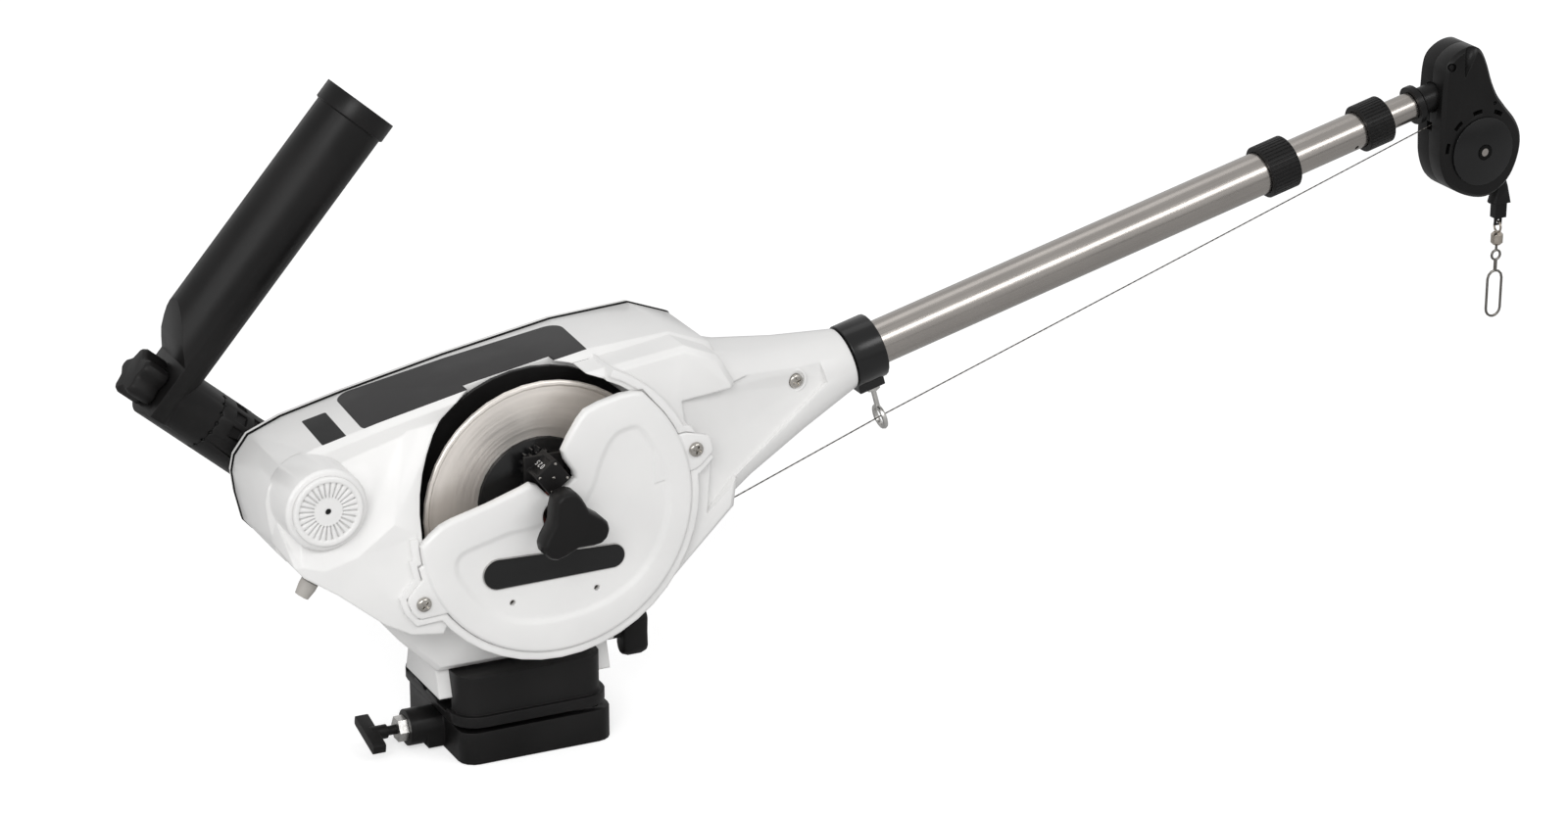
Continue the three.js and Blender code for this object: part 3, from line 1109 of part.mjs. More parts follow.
function addReel(parent) {
  const reel = new THREE.Group();
  reel.position.set(REEL.x, 0, REEL.z);
  parent.add(reel);
  add(reel, "spool_shaft", spoolShaft(), finishes.stainless);
  add(reel, "front_bearing", bearing(SHELL.floorBack - ROOT), finishes.steel);
  add(reel, "rear_bearing", bearing(SEAM.back - SEAT_GAP), finishes.steel);
  add(reel, "spool_drum", spoolDrum(), finishes.blackPlastic);
  add(reel, "spool_disc", spoolDisc(), finishes.stainless);
  add(reel, "spool_hub", spoolHub(), finishes.glossBlack);
  add(reel, "cable_winding", cableWinding(), finishes.darkCable);
  add(reel, "clutch_disc", clutchDisc(), finishes.redFriction);
  add(reel, "clutch_knob", clutchKnob(), finishes.softBlack);
  add(parent, "counter_body", counterBody(), finishes.softBlack);
  add(parent, "counter_gear", counterGear(), finishes.whiteGear);
}

// Boom: three tubes, two locking collars, the end collar and its eye

function tubeStage(stage) {
  return ring(stage.bore, stage.radius, stage.start, stage.end, 24);
}

function boomCollar() {
  const band = ring(OUTER.radius + SEAT_GAP, COLLAR.radius, COLLAR.start, COLLAR.end, 24);
  const lug = alongY(
    rectangle(-COLLAR.lugWidth / 2, COLLAR.lugWidth / 2, -COLLAR.lugDrop, -OUTER.radius - ROOT), COLLAR.start + ROOT,
    COLLAR.end - ROOT,
  );
  const eyeHole = barZ(0, 0, EYE.wireRadius + RUNNING_GAP, -COLLAR.lugDrop - ROOT, -OUTER.radius - ROOT, 12);
  return cut(join(band, cut(lug, barY(0, 0, OUTER.radius + ROOT, 0, COLLAR.end + OVERRUN, 32))), eyeHole.translate(0, EYE.station, 0));
}

function eyeBolt() {
  const loop = circlePoints(0, 0, EYE.loopRadius, 18).map(([x, z]) => [x, EYE.station, z - EYE.drop]);
  const shankTop = -OUTER.radius - 2 * ROOT;
  const shank = tube([[0, EYE.station, shankTop], [0, EYE.station, EYE.loopRadius - EYE.drop]], EYE.wireRadius, 8);
  return join(tube(loop, EYE.wireRadius, 8, true), shank);
}

function eyeNut() {
  const top = -COLLAR.lugDrop - SEAT_GAP;
  const nut = alongZ(hexagon(EYE.nutAcross), top - EYE.nutLength, top);
  return toGeometry(cut(nut, barZ(0, 0, EYE.wireRadius + RUNNING_GAP, -2 * EYE.drop, 0, 12))).translate(0, EYE.station, 0);
}

// Ribbed collar that closes over the end of one tube and lets the next one through
function lockCollar(lock, stage, next) {
  const outline = circlePoints(0, 0, 1, 2 * lock.ribs).map(([x, z], i) => {
    const radius = lock.radius - (i % 2) * lock.ribDepth;
    return [x * radius, z * radius];
  });
  const shoulder = stage.end + 2 * ROOT;
  return cut(
    alongY(outline, lock.start, lock.end),
    barY(0, 0, stage.radius + RUNNING_GAP, lock.start - OVERRUN, shoulder, 24),
    barY(0, 0, next.radius + RUNNING_GAP, lock.start - OVERRUN, lock.end + OVERRUN, 24),
  );
}

// Plastic sleeve between two tubes, with a flange against the outer one's end
function slideBush(stage, next) {
  const [inner, outer] = [next.radius + SEAT_GAP, stage.bore - SEAT_GAP];
  const flangeBack = stage.end + SEAT_GAP;
  return turned([
    [inner, stage.end - BUSH.length], [outer, stage.end - BUSH.length], [outer, flangeBack],
    [stage.radius - SEAT_GAP, flangeBack], [stage.radius - SEAT_GAP, flangeBack + ROOT], [inner, flangeBack + ROOT],
  ], 24);
}

function endFitting() {
  const plug = INNER.bore - SEAT_GAP;
  return turned([
    [0, FITTING.plugStart], [plug, FITTING.plugStart], [plug, FITTING.ringStart], [FITTING.ringRadius, FITTING.ringStart],
    [FITTING.ringRadius, FITTING.ringEnd - ROOT], [FITTING.ringRadius - ROOT, FITTING.ringEnd],
    [FITTING.neckRadius, FITTING.ringEnd], [FITTING.neckRadius, FITTING.neckEnd - 2 * ROOT],
    [FITTING.neckRadius + ROOT, FITTING.neckEnd - 2 * ROOT], [FITTING.neckRadius + ROOT, FITTING.neckEnd],
    [0, FITTING.neckEnd],
  ], 24);
}

function addBoom(parent) {
  const boom = frameGroup(boomFrame);
  parent.add(boom);
  add(boom, "boom_collar", boomCollar(), finishes.glossBlack);
  add(boom, "eye_nut", eyeNut(), finishes.zinc);
  add(boom, "eye_bolt", eyeBolt(), finishes.zinc);
  add(boom, "outer_tube", tubeStage(OUTER), finishes.stainless);
  add(boom, "lock_collar_rear", lockCollar(LOCK_ONE, OUTER, MIDDLE), finishes.blackPlastic);
  add(boom, "bush_rear", slideBush(OUTER, MIDDLE), finishes.blackPlastic);
  add(boom, "middle_tube", tubeStage(MIDDLE), finishes.stainless);
  add(boom, "lock_collar_front", lockCollar(LOCK_TWO, MIDDLE, INNER), finishes.blackPlastic);
  add(boom, "bush_front", slideBush(MIDDLE, INNER), finishes.blackPlastic);
  add(boom, "inner_tube", tubeStage(INNER), finishes.stainless);
  add(boom, "end_fitting", endFitting(), finishes.blackPlastic);
}

// Pulley head: two shells, the pulley on its bolt, and the front cap

const HEAD_SHARES = [
  [0.409, 0.021], [0.648, 0.007], [0.864, 0.096], [0.966, 0.233], [0.989, 0.37], [0.909, 0.479], [0.784, 0.562],
  [0.625, 0.678], [0.5, 0.904], [0.398, 0.979], [0.227, 0.973], [0.08, 0.918], [0.023, 0.849], [0.011, 0.671],
  [0.011, 0.397], [0.023, 0.247], [0.136, 0.103],
];

function headTools() {
  const middle = HEAD.parting;
  const cavity = barY(PULLEY.x, PULLEY.z, PULLEY.cavityRadius, middle - PULLEY.cavityHalf, middle + PULLEY.cavityHalf, 40);
  const boltHole = barY(PULLEY.x, PULLEY.z, PULLEY_BOLT.radius + SEAT_GAP, HEAD.front - OVERRUN, HEAD.back + OVERRUN, 16);
  const pivotBore = turned([
    [0, FITTING.ringEnd - OVERRUN], [FITTING.neckRadius + RUNNING_GAP, FITTING.ringEnd - OVERRUN],
    [FITTING.neckRadius + RUNNING_GAP, FITTING.neckEnd - 2 * ROOT - RUNNING_GAP],
    [FITTING.neckRadius + ROOT + RUNNING_GAP, FITTING.neckEnd - 2 * ROOT - RUNNING_GAP],
    [FITTING.neckRadius + ROOT + RUNNING_GAP, FITTING.neckEnd + RUNNING_GAP], [0, FITTING.neckEnd + RUNNING_GAP],
  ], 24).applyMatrix4(boomFrame);
  const entry = alongY(cableSlotOutline(), middle - 2 * ROOT, middle + 2 * ROOT);
  const exitX = PULLEY.x + cableRun;
  const exit = barZ(exitX, middle, 2 * ROOT, HEAD.bottom - OVERRUN, PULLEY.z, 12);
  return [cavity, boltHole, pivotBore, entry, exit];
}

// Slot in the head's left edge that the cable enters by
function cableSlotOutline() {
  const reach = HEAD.left - OVERRUN;
  const slope = (cableTangent.z - cableEye.z) / (cableTangent.x - cableEye.x);
  const lowered = (x) => cableTangent.z - slope * (cableTangent.x - x);
  const rise = 2 * ROOT;
  const inside = PULLEY.x - PULLEY.groove / 2;
  return [
    [reach, lowered(reach) - rise], [inside, lowered(inside) - rise], [inside, lowered(inside) + rise],
    [reach, lowered(reach) + rise],
  ];
}

function headShell(front, back, side) {
  const outline = framed(HEAD, HEAD_SHARES);
  const shell = alongY(outline, front, back, HEAD.bevel);
  const parted = cut(shell, side < 0 ? behind(HEAD.parting - SEAT_GAP / 2) : inFrontOf(HEAD.parting + SEAT_GAP / 2));
  return cut(parted, ...headTools());
}

function headFront() {
  const shell = headShell(HEAD.front, HEAD.parting + 2 * HEAD.bevel, -1);
  const slots = [65, 100, 135, 170].map((angle) => {
    const { inner, outer, spread, depth } = HEAD_SLOT;
    const outline = [
      ...arcPoints(PULLEY.x, PULLEY.z, outer, angle - spread / 2, angle + spread / 2, 3),
      ...arcPoints(PULLEY.x, PULLEY.z, inner, angle + spread / 2, angle - spread / 2, 3),
    ];
    return alongY(outline, HEAD.front - OVERRUN, HEAD.front + depth);
  });
  return cut(shell, ...slots);
}

function pulley() {
  const [half, groove] = [PULLEY.width / 2, PULLEY.width / 12];
  return turned([
    [PULLEY.bore, -half], [PULLEY.flange, -half], [PULLEY.flange, ROOT / 2 - half], [PULLEY.groove, -groove],
    [PULLEY.groove, groove], [PULLEY.flange, half - ROOT / 2], [PULLEY.flange, half], [PULLEY.bore, half],
  ], 32).translate(PULLEY.x, HEAD.parting, PULLEY.z);
}

function pulleyCap() {
  const back = HEAD.front - SEAT_GAP;
  const front = back - PULLEY_CAP.rise;
  const bore = PULLEY_BOLT.radius + SEAT_GAP;
  const sink = front + PULLEY_BOLT.headHeight + SEAT_GAP;
  return turned([
    [bore, back], [PULLEY_CAP.radius, back], [PULLEY_CAP.radius, back - ROOT], [PULLEY_CAP.crown, front + ROOT / 2],
    [PULLEY_CAP.dish, front], [PULLEY_CAP.dish, sink], [bore, sink],
  ], 28).translate(PULLEY.x, 0, PULLEY.z);
}

function pulleyBolt() {
  const seat = HEAD.front - SEAT_GAP - PULLEY_CAP.rise + PULLEY_BOLT.headHeight;
  return turned([
    [0, seat - PULLEY_BOLT.headHeight], [PULLEY_BOLT.headRadius, seat - PULLEY_BOLT.headHeight],
    [PULLEY_BOLT.headRadius, seat], [PULLEY_BOLT.radius, seat], [PULLEY_BOLT.radius, HEAD.back + PULLEY_BOLT.tail],
    [0, HEAD.back + PULLEY_BOLT.tail],
  ], 16).translate(PULLEY.x, 0, PULLEY.z);
}

function pulleyNut() {
  const front = HEAD.back + SEAT_GAP;
  const nut = alongY(hexagon(PULLEY_NUT.across), front, front + PULLEY_NUT.thickness);
  const bored = cut(nut, barY(0, 0, PULLEY_BOLT.radius + SEAT_GAP, HEAD.front, HEAD.back + OVERRUN, 16));
  return toGeometry(bored).translate(PULLEY.x, 0, PULLEY.z);
}

function addHead(parent) {
  add(parent, "head_front", headFront(), finishes.blackPlastic);
  add(parent, "head_rear", headShell(HEAD.parting - 2 * HEAD.bevel, HEAD.back, 1), finishes.blackPlastic);
  add(parent, "pulley", pulley(), finishes.softBlack);
  add(parent, "pulley_bolt", pulleyBolt(), finishes.stainless);
  add(parent, "pulley_nut", pulleyNut(), finishes.zinc);
  add(parent, "pulley_cap", pulleyCap(), finishes.glossBlack);
}

// Cable: from the drum to the eye, on to the pulley, over it and down to the line stop

const cableEye = boomPoint(EYE.station, 0, -EYE.drop);
const cableAngle = tangentAngle(REEL, CABLE.windRadius, cableEye, -1);
const lineRadius = CABLE.windRadius + 2 * CABLE.radius + RUNNING_GAP;
const cableStart = onCircle(REEL, lineRadius, tangentAngle(REEL, lineRadius, cableEye, -1), CABLE.lastTurn);
const cableRun = PULLEY.groove + CABLE.radius + SEAT_GAP;
const pulleyAngle = tangentAngle(PULLEY, cableRun, cableEye, -1);
const cableTangent = onCircle(PULLEY, cableRun, pulleyAngle, HEAD.parting);

// Angle at which a line from a point touches a circle seen side-on, on the chosen side
function tangentAngle(circle, radius, point, side) {
  const [dx, dz] = [point.x - circle.x, point.z - circle.z];
  const angle = Math.atan2(dz, dx) + side * Math.acos(radius / Math.hypot(dx, dz));
  return THREE.MathUtils.euclideanModulo(angle, 2 * Math.PI);
}

function onCircle(circle, radius, angle, y) {
  return new THREE.Vector3(circle.x + radius * Math.cos(angle), y, circle.z + radius * Math.sin(angle));
}

function cableLower() {
  const along = cableEye.clone().sub(cableStart).normalize();
  const from = cableStart.clone().addScaledVector(along, RUNNING_GAP);
  const to = cableEye.clone().addScaledVector(along, -SEAT_GAP / 2);
  return tube([from.toArray(), to.toArray()], CABLE.radius, 8);
}

function cableJoint(offset) {
  const along = cableTangent.clone().sub(cableEye).normalize();
  const headLeft = boomPoint(FITTING.ringEnd - ROOT);
  const reach = (headLeft.x - cableEye.x) / along.x + offset;
  return cableEye.clone().addScaledVector(along, reach);
}

function cableUpper() {
  const along = cableTangent.clone().sub(cableEye).normalize();
  const from = cableEye.clone().addScaledVector(along, SEAT_GAP / 2);
  return tube([from.toArray(), cableJoint(0).toArray()], CABLE.radius, 8);
}

function cableHead() {
  const steps = 16;
  const over = Array.from({ length: steps + 1 }, (_, i) => {
    const angle = pulleyAngle * (1 - i / steps);
    return onCircle(PULLEY, cableRun, angle, HEAD.parting).toArray();
  });
  const bottom = [over.at(-1)[0], HEAD.parting, STOP.top + SEAT_GAP];
  return tube([cableJoint(SEAT_GAP).toArray(), ...over, bottom], CABLE.radius, 8);
}

function addCable(parent) {
  add(parent, "cable_lower", cableLower(), finishes.darkCable);
  add(parent, "cable_upper", cableUpper(), finishes.darkCable);
  add(parent, "cable_head", cableHead(), finishes.darkCable);
}

// Tackle on the cable's end: line stop, link, barrel swivel and snap

function addTackle(parent) {
  const tackle = new THREE.Group();
  tackle.position.set(PULLEY.x + cableRun, HEAD.parting, 0);
  parent.add(tackle);
  add(tackle, "line_stop", lineStop(), finishes.softBlack);
  add(tackle, "stop_link", stopLink(), finishes.blackPlastic);
  add(tackle, "barrel_swivel", barrelSwivel(), finishes.brass);
  add(tackle, "snap", snap(), finishes.zinc);
}

function lineStop() {
  const cone = turned([
    [0, STOP.bottom], [STOP.bottomRadius, STOP.bottom], [STOP.shoulderRadius, STOP.shoulder], [STOP.topRadius, STOP.top],
    [0, STOP.top],
  ], 20).rotateX(Math.PI / 2);
  const flat = STOP.bottomRadius * 0.6;
  const slab = alongY(rectangle(-STOP.bottomRadius, STOP.bottomRadius, 0, STOP.top + OVERRUN), -flat, flat);
  return keep(cone, slab);
}

function stopLink() {
  const { top, waist, bottom, half, tabHalf, holeZ, holeRadius } = LINK;
  const block = alongY(rectangle(-half, half, waist, top), -half * 0.7, half * 0.7);
  const tab = alongY(rectangle(-half * 0.6, half * 0.6, bottom, waist + ROOT), -tabHalf, tabHalf);
  return cut(join(block, tab), barY(0, holeZ, holeRadius, -OVERRUN, OVERRUN, 12));
}

function barrelSwivel() {
  const centre = swivelEyeCentre();
  const eye = circlePoints(0, 0, SWIVEL.loopRadius, 16).map(([y, z]) => [0, y, z + centre]);
  const top = centre - SWIVEL.loopRadius;
  const bottom = top - SWIVEL.barrelLength;
  const chamfer = SWIVEL.wire * 2;
  const barrel = turned([
    [0, top], [SWIVEL.barrelRadius - chamfer, top], [SWIVEL.barrelRadius, top - chamfer],
    [SWIVEL.barrelRadius, bottom + chamfer], [SWIVEL.barrelRadius - chamfer, bottom],
    [SNAP.wire + SEAT_GAP, bottom], [SNAP.wire + SEAT_GAP, bottom + SWIVEL.socket], [0, bottom + SWIVEL.socket],
  ], 16).rotateX(Math.PI / 2);
  return join(tube(eye, SWIVEL.wire, 8, true), barrel);
}

// The swivel's eye hangs with its wire through the link's hole
function swivelEyeCentre() {
  return LINK.holeZ - SWIVEL.loopRadius;
}

// Snap: a stem in the barrel, an eye, a wound neck and the long loop
function snap() {
  const stemTop = swivelEyeCentre() - SWIVEL.loopRadius - SWIVEL.barrelLength + SNAP.stem - SEAT_GAP;
  const eyeTop = stemTop - SNAP.stem - SNAP.eyeDrop;
  const eyeCentre = eyeTop - SNAP.eyeRadius;
  const neckBottom = eyeCentre - SNAP.eyeRadius - SNAP.neck;
  const eye = circlePoints(0, 0, SNAP.eyeRadius, 14).map(([x, z]) => [x, 0, z + eyeCentre]);
  const loopCentre = SNAP.bottom + SNAP.half + SNAP.wire;
  const loop = [
    ...arcPoints(0, loopCentre, SNAP.half, 180, 360, 8),
    ...arcPoints(0, neckBottom - SNAP.half / 2, SNAP.half, 0, 180, 6),
  ].map(([x, z]) => [x, 0, z]);
  const stem = tube([[0, 0, stemTop], [0, 0, eyeTop]], SNAP.wire, 8);
  const neckWire = tube([[0, 0, eyeCentre - SNAP.eyeRadius], [0, 0, neckBottom + SNAP.half / 2]], 1.4 * SNAP.wire, 8);
  return join(stem, tube(eye, SNAP.wire, 6, true), neckWire, tube(loop, SNAP.wire, 6, true));
}

// Rod holder: arm in the back cover's socket, and the rod tube that turns on its end

function armCuts(box) {
  return Array.from({ length: box.count }, (_, i) => {
    const pocket = alongY(
      rectangle(-box.width / 2, box.width / 2, ARM.radius - box.depth, ARM.radius + OVERRUN), box.start, box.start + box.length,
    );
    const turn = (i - 1) * box.spread * DEG;
    return pocket.rotateY(-Math.PI / 4 - turn);
  });
}

// Saw-tooth grooves round the rim of a face at the given station, cut away on one side
function facedTeeth(station, side) {
  return Array.from({ length: TEETH.count }, (_, i) => {
    const halfPitch = (Math.PI * ARM.radius) / TEETH.count / 2;
    const outline = [[-halfPitch, station - side * TEETH.depth / 8], [halfPitch, station - side * TEETH.depth / 8], [0, station + side * TEETH.depth]];
    const groove = new THREE.ExtrudeGeometry(polygon(outline), { depth: 2 * ROOT, bevelEnabled: false });
    return groove.translate(0, 0, ARM.radius - ROOT).rotateY((2 * Math.PI * i) / TEETH.count);
  });
}

function rodArm() {
  const post = turned([
    [0, ARM.spigotStart], [ARM.spigotRadius, ARM.spigotStart], [ARM.spigotRadius, ARM.start], [ARM.radius, ARM.start],
    [ARM.radius, ARM.end], [0, ARM.end],
  ], 36);
  const bolt = barY(0, 0, ROD_KNOB.shankRadius + SEAT_GAP, ROD_KNOB.shankStart - ROOT, ARM.end + OVERRUN, 16);
  return cut(post, bolt, ...armCuts(ARM_WINDOW), ...armCuts(ARM_POCKET), ...facedTeeth(ARM.end, -1));
}

function rodTube() {
  const collarStart = ARM.end + RUNNING_GAP;
  const collar = barY(0, 0, ARM.radius, collarStart, ROD.reach, 36);
  const lipStart = ROD.length - ROD.mouthLength;
  const tubeBody = turned([
    [0, ROD.heel], [ROD.radius, ROD.heel], [ROD.radius, lipStart], [ROD.mouthRadius, lipStart + ROOT / 2],
    [ROD.mouthRadius, ROD.length], [0, ROD.length],
  ], 28).rotateX(Math.PI / 2).translate(0, ROD.reach, 0);
  const bore = barZ(0, ROD.reach, ROD.bore, ROD.floor, ROD.length + OVERRUN, 28);
  const face = ROD.reach + SEAT_GAP;
  const outside = ROD.reach + 2 * ROD.radius;
  const scoop = alongX([
    [face, -2 * ROD.radius], [outside, -2 * ROD.radius], [outside, SCOOP.top], [face + SCOOP.topOut, SCOOP.top],
    [face + SCOOP.shoulderOut, SCOOP.shoulder], [face, SCOOP.rise],
  ], -2 * ROD.radius, 2 * ROD.radius);
  const bolt = barY(0, 0, ROD_KNOB.shankRadius + SEAT_GAP, ARM.end, ROD.reach + OVERRUN, 16);
  return cut(join(collar, tubeBody), bore, scoop, bolt, ...facedTeeth(collarStart, 1));
}

function rodKnob() {
  const outline = lobedOutline(5, ROD_KNOB.tipRadius, ROD_KNOB.lobeRadius, ROD_KNOB.waistRadius, 0, 4);
  const inner = inset(outline, ROOT);
  const edge = 2 * ROOT;
  const skin = [
    [outline, ROD_KNOB.start], [outline, ROD_KNOB.end - edge], [inner, ROD_KNOB.end],
  ];
  const grip = loft(skin.map(([points, y]) => points.map(([x, z]) => [x, y, z])));
  return join(grip, barY(0, 0, ROD_KNOB.shankRadius, ROD_KNOB.shankStart, ROD_KNOB.start + ROOT, 16));
}

function addRodHolder(parent) {
  const holder = frameGroup(armFrame);
  parent.add(holder);
  add(holder, "rod_arm", rodArm(), finishes.blackPlastic);
  add(holder, "rod_tube", rodTube(), finishes.blackPlastic);
  add(holder, "rod_knob", rodKnob(), finishes.softBlack);
}

function buildDownrigger() {
  const downrigger = new THREE.Group();
  addBase(downrigger);
  addHousing(downrigger);
  addDrive(downrigger);
  addReel(downrigger);
  addBoom(downrigger);
  addHead(downrigger);
  addCable(downrigger);
  addTackle(downrigger);
  addRodHolder(downrigger);
  return downrigger;
}

export default buildDownrigger();
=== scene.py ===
"""Looks of the electric downrigger: finishes for its solids, fine pieces, studio and camera."""

import json
import logging
import math
from contextlib import contextmanager
from dataclasses import dataclass
from enum import Enum
from typing import Callable, Iterator, Optional, Sequence

import bmesh
import bpy
from mathutils import Matrix, Vector


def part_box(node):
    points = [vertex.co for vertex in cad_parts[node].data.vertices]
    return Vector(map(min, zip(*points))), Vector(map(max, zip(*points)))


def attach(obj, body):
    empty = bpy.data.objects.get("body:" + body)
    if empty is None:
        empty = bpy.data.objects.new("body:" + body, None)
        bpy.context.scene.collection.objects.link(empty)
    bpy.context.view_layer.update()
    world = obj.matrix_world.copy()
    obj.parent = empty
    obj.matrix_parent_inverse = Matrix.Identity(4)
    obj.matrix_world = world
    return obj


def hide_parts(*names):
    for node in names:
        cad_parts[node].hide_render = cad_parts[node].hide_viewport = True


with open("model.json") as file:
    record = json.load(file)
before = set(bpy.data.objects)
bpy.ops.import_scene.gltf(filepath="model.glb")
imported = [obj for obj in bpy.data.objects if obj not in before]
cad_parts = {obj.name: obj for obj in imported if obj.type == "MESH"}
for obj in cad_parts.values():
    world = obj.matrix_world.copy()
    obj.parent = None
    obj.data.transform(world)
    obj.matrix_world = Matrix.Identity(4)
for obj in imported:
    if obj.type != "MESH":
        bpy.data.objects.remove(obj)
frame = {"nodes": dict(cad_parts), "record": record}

log = logging.getLogger("downrigger")

Colour = tuple[float, float, float]
Place = tuple[float, float, float]
Pair = tuple[float, float]

MM = 0.001
REEL_AXIS: Place = (11.0, 0.0, 217.0)
BOOM_START: Place = (11.0, -16.6, 204.7)
BOOM_ANGLE = math.radians(15.03)
BOOM_ALONG = Vector((math.cos(BOOM_ANGLE), 0.0, math.sin(BOOM_ANGLE)))


def boom_point(station: float) -> Vector:
    """Gives a point on the boom's line, in millimetres.

    Args:
        station: Distance along the boom from the reel's axis plane.

    Returns:
        The point in the part's frame.
    """
    return Vector(BOOM_START) + station * BOOM_ALONG


def smooth_loop(points: Sequence[Pair], steps: int) -> list[Pair]:
    """Runs a smooth closed curve through points.

    Args:
        points: The points in order.
        steps: Pieces between two of them.

    Returns:
        The curve's points.
    """
    curve = []
    count = len(points)
    for index in range(count):
        before, start, end, after = (Vector(points[(index + shift) % count]) for shift in (-1, 0, 1, 2))
        bend = 2 * before - 5 * start + 4 * end - after
        twist = 3 * start - before - 3 * end + after
        for step in range(steps):
            t = step / steps
            spot = start + 0.5 * ((end - before) * t + bend * t ** 2 + twist * t ** 3)
            curve.append((spot.x, spot.y))
    return curve


class Lay(Enum):
    """How the fine lines of a metal finish lie."""

    ALONG_BOOM = "along the boom"
    TURNED = "turned about the reel"
    PLAIN = "no single direction"


class Sheet:
    """A node tree that is being wired."""

    def __init__(self, tree: bpy.types.NodeTree) -> None:
        """Keeps the tree.

        Args:
            tree: The tree of a material or a node group.
        """
        self.tree = tree

    def node(self, kind: str, **settings: object) -> bpy.types.Node:
        """Adds a node.

        Args:
            kind: The node's type without its "ShaderNode" or "Node" prefix.
            **settings: Properties of the node.

        Returns:
            The new node.
        """
        prefix = "Node" if kind.startswith("Group") and kind != "Group" else "ShaderNode"
        made = self.tree.nodes.new(prefix + kind)
        for name, value in settings.items():
            setattr(made, name, value)
        return made

    def join(self, source: bpy.types.NodeSocket, target: bpy.types.NodeSocket) -> None:
        """Joins an output to an input."""
        self.tree.links.new(source, target)

    def feed(self, target: bpy.types.NodeSocket, value: object) -> None:
        """Gives an input a socket's output or a plain value.

        Args:
            target: The input.
            value: An output socket, a number or a list of numbers.
        """
        if isinstance(value, bpy.types.NodeSocket):
            self.join(value, target)
        else:
            target.default_value = value

    def math(self, operation: str, *values: object, clamp: bool = False) -> bpy.types.NodeSocket:
        """Adds a Math node.

        Args:
            operation: The node's operation.
            *values: Its inputs.
            clamp: Whether the result is held to 0..1.

        Returns:
            The result's socket.
        """
        made = self.node("Math", operation=operation, use_clamp=clamp)
        for target, value in zip(made.inputs, values):
            self.feed(target, value)
        return made.outputs[0]

    def ramp(self, value: bpy.types.NodeSocket, low: float, high: float, to_low: float = 0.0,
             to_high: float = 1.0) -> bpy.types.NodeSocket:
        """Spreads a range of values over another, smoothly and within it.

        Args:
            value: The value's socket.
            low: Value that gives to_low.
            high: Value that gives to_high.
            to_low: Lowest result.
            to_high: Highest result.

        Returns:
            The result's socket.
        """
        made = self.node("MapRange", interpolation_type="SMOOTHSTEP")
        for target, number in zip(made.inputs[1:5], (low, high, to_low, to_high)):
            target.default_value = number
        self.join(value, made.inputs[0])
        return made.outputs[0]

    def blend(self, share: object, first: object, second: object) -> bpy.types.NodeSocket:
        """Mixes two colours.

        Args:
            share: Share of the second colour.
            first: A colour or its socket.
            second: A colour or its socket.

        Returns:
            The mixed colour's socket.
        """
        made = self.node("Mix", data_type="RGBA")
        self.feed(made.inputs[0], share)
        for target, colour in ((made.inputs[6], first), (made.inputs[7], second)):
            self.feed(target, (*colour, 1.0) if isinstance(colour, tuple) else colour)
        return made.outputs[2]


Filler = Callable[[Sheet, bpy.types.Node, bpy.types.Node], None]


